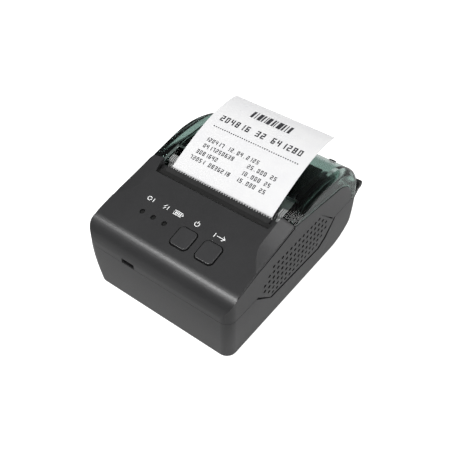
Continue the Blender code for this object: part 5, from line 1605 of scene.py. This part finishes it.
# Where each plain sign stands on the panel, the heights and widths of its strokes, and the round
# parts of two signs as their radius, ends or centre, and steps
marks = {
    "lift": 0.00003, "sink": 0.00002, "line": 0.00034, "nub": 0.000408, "bar": 0.00055,
    "standby": (0.0038, 0.0242), "feed": (0.0169, 0.0238), "cell": (-0.0071, 0.0242),
    "ring": (-0.0226, 0.0242), "bolt": (-0.0145, 0.0242),
    "arc": (0.00115, math.radians(125), math.radians(415), 20), "loop": ((-0.0012, 0.0), 0.0010, 18),
}
standbyRing = arcPoints((0.0, 0.0), *marks["arc"])
# Each stroke gives its sign, its width and its points as (x, distance along the slope)
openStrokes = (
    ("standby", "line", standbyRing), ("standby", "line", ((0.0, 0.0002), (0.0, 0.0016))),
    ("feed", "line", ((-0.0030, -0.0011), (-0.0030, 0.0011))),
    ("feed", "line", ((-0.0018, 0.0), (0.0022, 0.0))),
    ("feed", "line", ((0.0010, 0.0012), (0.0025, 0.0), (0.0010, -0.0012))),
    ("cell", "nub", ((0.0027, -0.0004), (0.0027, 0.0004))),
    ("cell", "bar", ((-0.0012, -0.0006), (-0.0012, 0.0006))),
    ("cell", "bar", ((-0.0003, -0.0006), (-0.0003, 0.0006))),
    ("cell", "bar", ((0.0006, -0.0006), (0.0006, 0.0006))),
    ("cell", "bar", ((0.0015, -0.0006), (0.0015, 0.0006))),
    ("ring", "line", ((0.0012, -0.0010), (0.0012, 0.0010))),
    ("bolt", "line", ((0.0004, 0.0012), (-0.0008, -0.0001), (0.0003, -0.0001), (-0.0005, -0.0012))),
    ("bolt", "line", ((0.0016, -0.0010), (0.0016, 0.0010))),
)
closedStrokes = (
    ("cell", "line", ((-0.0022, -0.0010), (0.0022, -0.0010), (0.0022, 0.0010), (-0.0022, 0.0010))),
    ("ring", "line", circlePoints(*marks["loop"])),
)


# Signs: a standby ring by the power key, a feed arrow, a cell outline and two signs by the lights
def buildMarks():
    bm = bmesh.new()
    for strokes, closed in ((openStrokes, False), (closedStrokes, True)):
        for sign, width, points in strokes:
            rings = []
            for index, (x, s) in enumerate(points):
                direction = directionAt(points, index, closed)
                side = Vector((-direction.y, direction.x)) * marks[width] / 2
                low, high = marks["sink"], -marks["lift"]
                ring = []
                for offset, depth in ((side, low), (-side, low), (-side, high), (side, high)):
                    spot = onPanel(*marks[sign]) + Vector((x + offset.x, 0, 0))
                    ring.append(spot + panelAlong * (s + offset.y) - panelNormal * depth)
                rings.append(ring)
            skinRings(bm, rings, closed)
    return addMesh("panel_marks", bm)


dress(buildMarks(), whiteInk, "housing")
print("marks built")

# CAD nodes that stay in view keep their meshes and take these finishes
carried = (
    (steelMetal, ("platen_shaft", "idler_axle", "head_spring", "stepper_motor")),
    (brassMetal, ("motor_pinion",)), (aluminiumMetal, ("heat_sink",)),
    (gearPlastic, ("platen_gear", "idler_gear")), (ceramicGlaze, ("print_head",)),
    (blackMould, ("mechanism_frame", "paper_sensor", "power_switch", "feed_switch")),
    (thermalPaper, ("paper_web",)), (cardPaper, ("roll_core",)), (batteryWrap, ("battery_pack",)),
    (boardLacquer, ("main_board", "button_board")),
    (lensPlastic, ("led_lens_power", "led_lens_charge", "led_lens_error")),
)
for material, names in carried:
    for name in names:
        nodes[name].data.materials.clear()
        nodes[name].data.materials.append(material)
print("carried nodes finished")

# The floor and the backdrop look nearly white to the camera, but throw less light than they show
studio = {
    "floor": grey(0.40), "shade": 0.985, "roughness": 0.9, "specular": 0.1, "grainScale": 300.0,
    "mottleScale": 8.0, "seenGlow": 0.95, "castGlow": 0.28, "floorSize": 3.0,
    "horizon": 0.27, "zenith": 0.15, "zenithFrom": 0.8, "backdrop": 0.97,
    "camera": (0.14153, -0.18889, 0.24881), "target": (0.0005, -0.0049, 0.0206), "lens": 53.80,
    "sensor": 36.0, "clip": 0.01, "lit": (0.0, 0.0, 0.03),
}
# Each light gives its place, its size and its power
lamps = {
    "key_softbox": ((-0.24, -0.42, 0.74), (0.60, 0.035), 7.6),
    "top_right": ((0.12, 0.18, 0.95), (0.35, 0.35), 2.6),
    "side_fill": ((0.75, -0.05, 0.42), (0.50, 0.30), 3.6),
}


def addFloor():
    bm = bmesh.new()
    half = studio["floorSize"] / 2
    corners = ((-half, -half), (half, -half), (half, half), (-half, half))
    bm.faces.new([bm.verts.new((x, y, 0.0)) for x, y in corners])
    floor = addMesh("studio_floor", bm)
    floor.location = -caseShift
    material, tree, shader = startMaterial(
        "floor_paper", Roughness=studio["roughness"], Specular_IOR_Level=studio["specular"],
        Emission_Color=grey(1.0),
    )
    grain = place(tree, mouldGrain, Grain_Scale=studio["grainScale"], Mottle_Scale=studio["mottleScale"])
    shade = tuple(value * studio["shade"] for value in studio["floor"])
    base = mixColour(tree, mapped(tree, grain["Mottle"], 0.0, 1.0), shade, studio["floor"])
    seen = addNode(tree, "LightPath").outputs["Is Camera Ray"]
    glow = mapped(tree, seen, studio["castGlow"], studio["seenGlow"], 0.0, 1.0)
    feedAll(tree, shader, {"Base Color": base, "Emission Strength": glow})
    floor.data.materials.append(material)


# Puts a lamp or a camera in its place, turned towards a target
def addAimed(name, data, position, target):
    aimed = bpy.data.objects.new(name, data)
    bpy.context.scene.collection.objects.link(aimed)
    aimed.location = position
    aimed.rotation_euler = (Vector(target) - Vector(position)).to_track_quat("-Z", "Y").to_euler()
    return aimed


addFloor()
for name, (position, size, power) in lamps.items():
    lamp = bpy.data.lights.new(name, "AREA")
    lamp.shape = "RECTANGLE"
    lamp.size, lamp.size_y = size
    lamp.energy = power
    addAimed(name, lamp, position, studio["lit"])

world = bpy.data.worlds.new("studio")
world.use_nodes = True
tree = world.node_tree
heading = addNode(tree, "SeparateXYZ", Vector=addNode(tree, "TexCoord").outputs["Generated"])
sky = mapped(tree, heading.outputs["Z"], studio["horizon"], studio["zenith"], 0.0, studio["zenithFrom"])
seen = mathNode(tree, "MULTIPLY", addNode(tree, "LightPath").outputs["Is Camera Ray"], studio["backdrop"])
behind = mathNode(tree, "MAXIMUM", sky, seen)
feedAll(tree, tree.nodes["Background"], {"Strength": behind, "Color": grey(1.0)})
bpy.context.scene.world = world
bpy.context.scene.view_settings.view_transform = "Standard"

cameraData = bpy.data.cameras.new("photo_camera")
cameraData.lens = studio["lens"]
cameraData.sensor_width = studio["sensor"]
cameraData.clip_start = studio["clip"]
bpy.context.scene.camera = addAimed("photo_camera", cameraData, studio["camera"], studio["target"])
print("studio built")
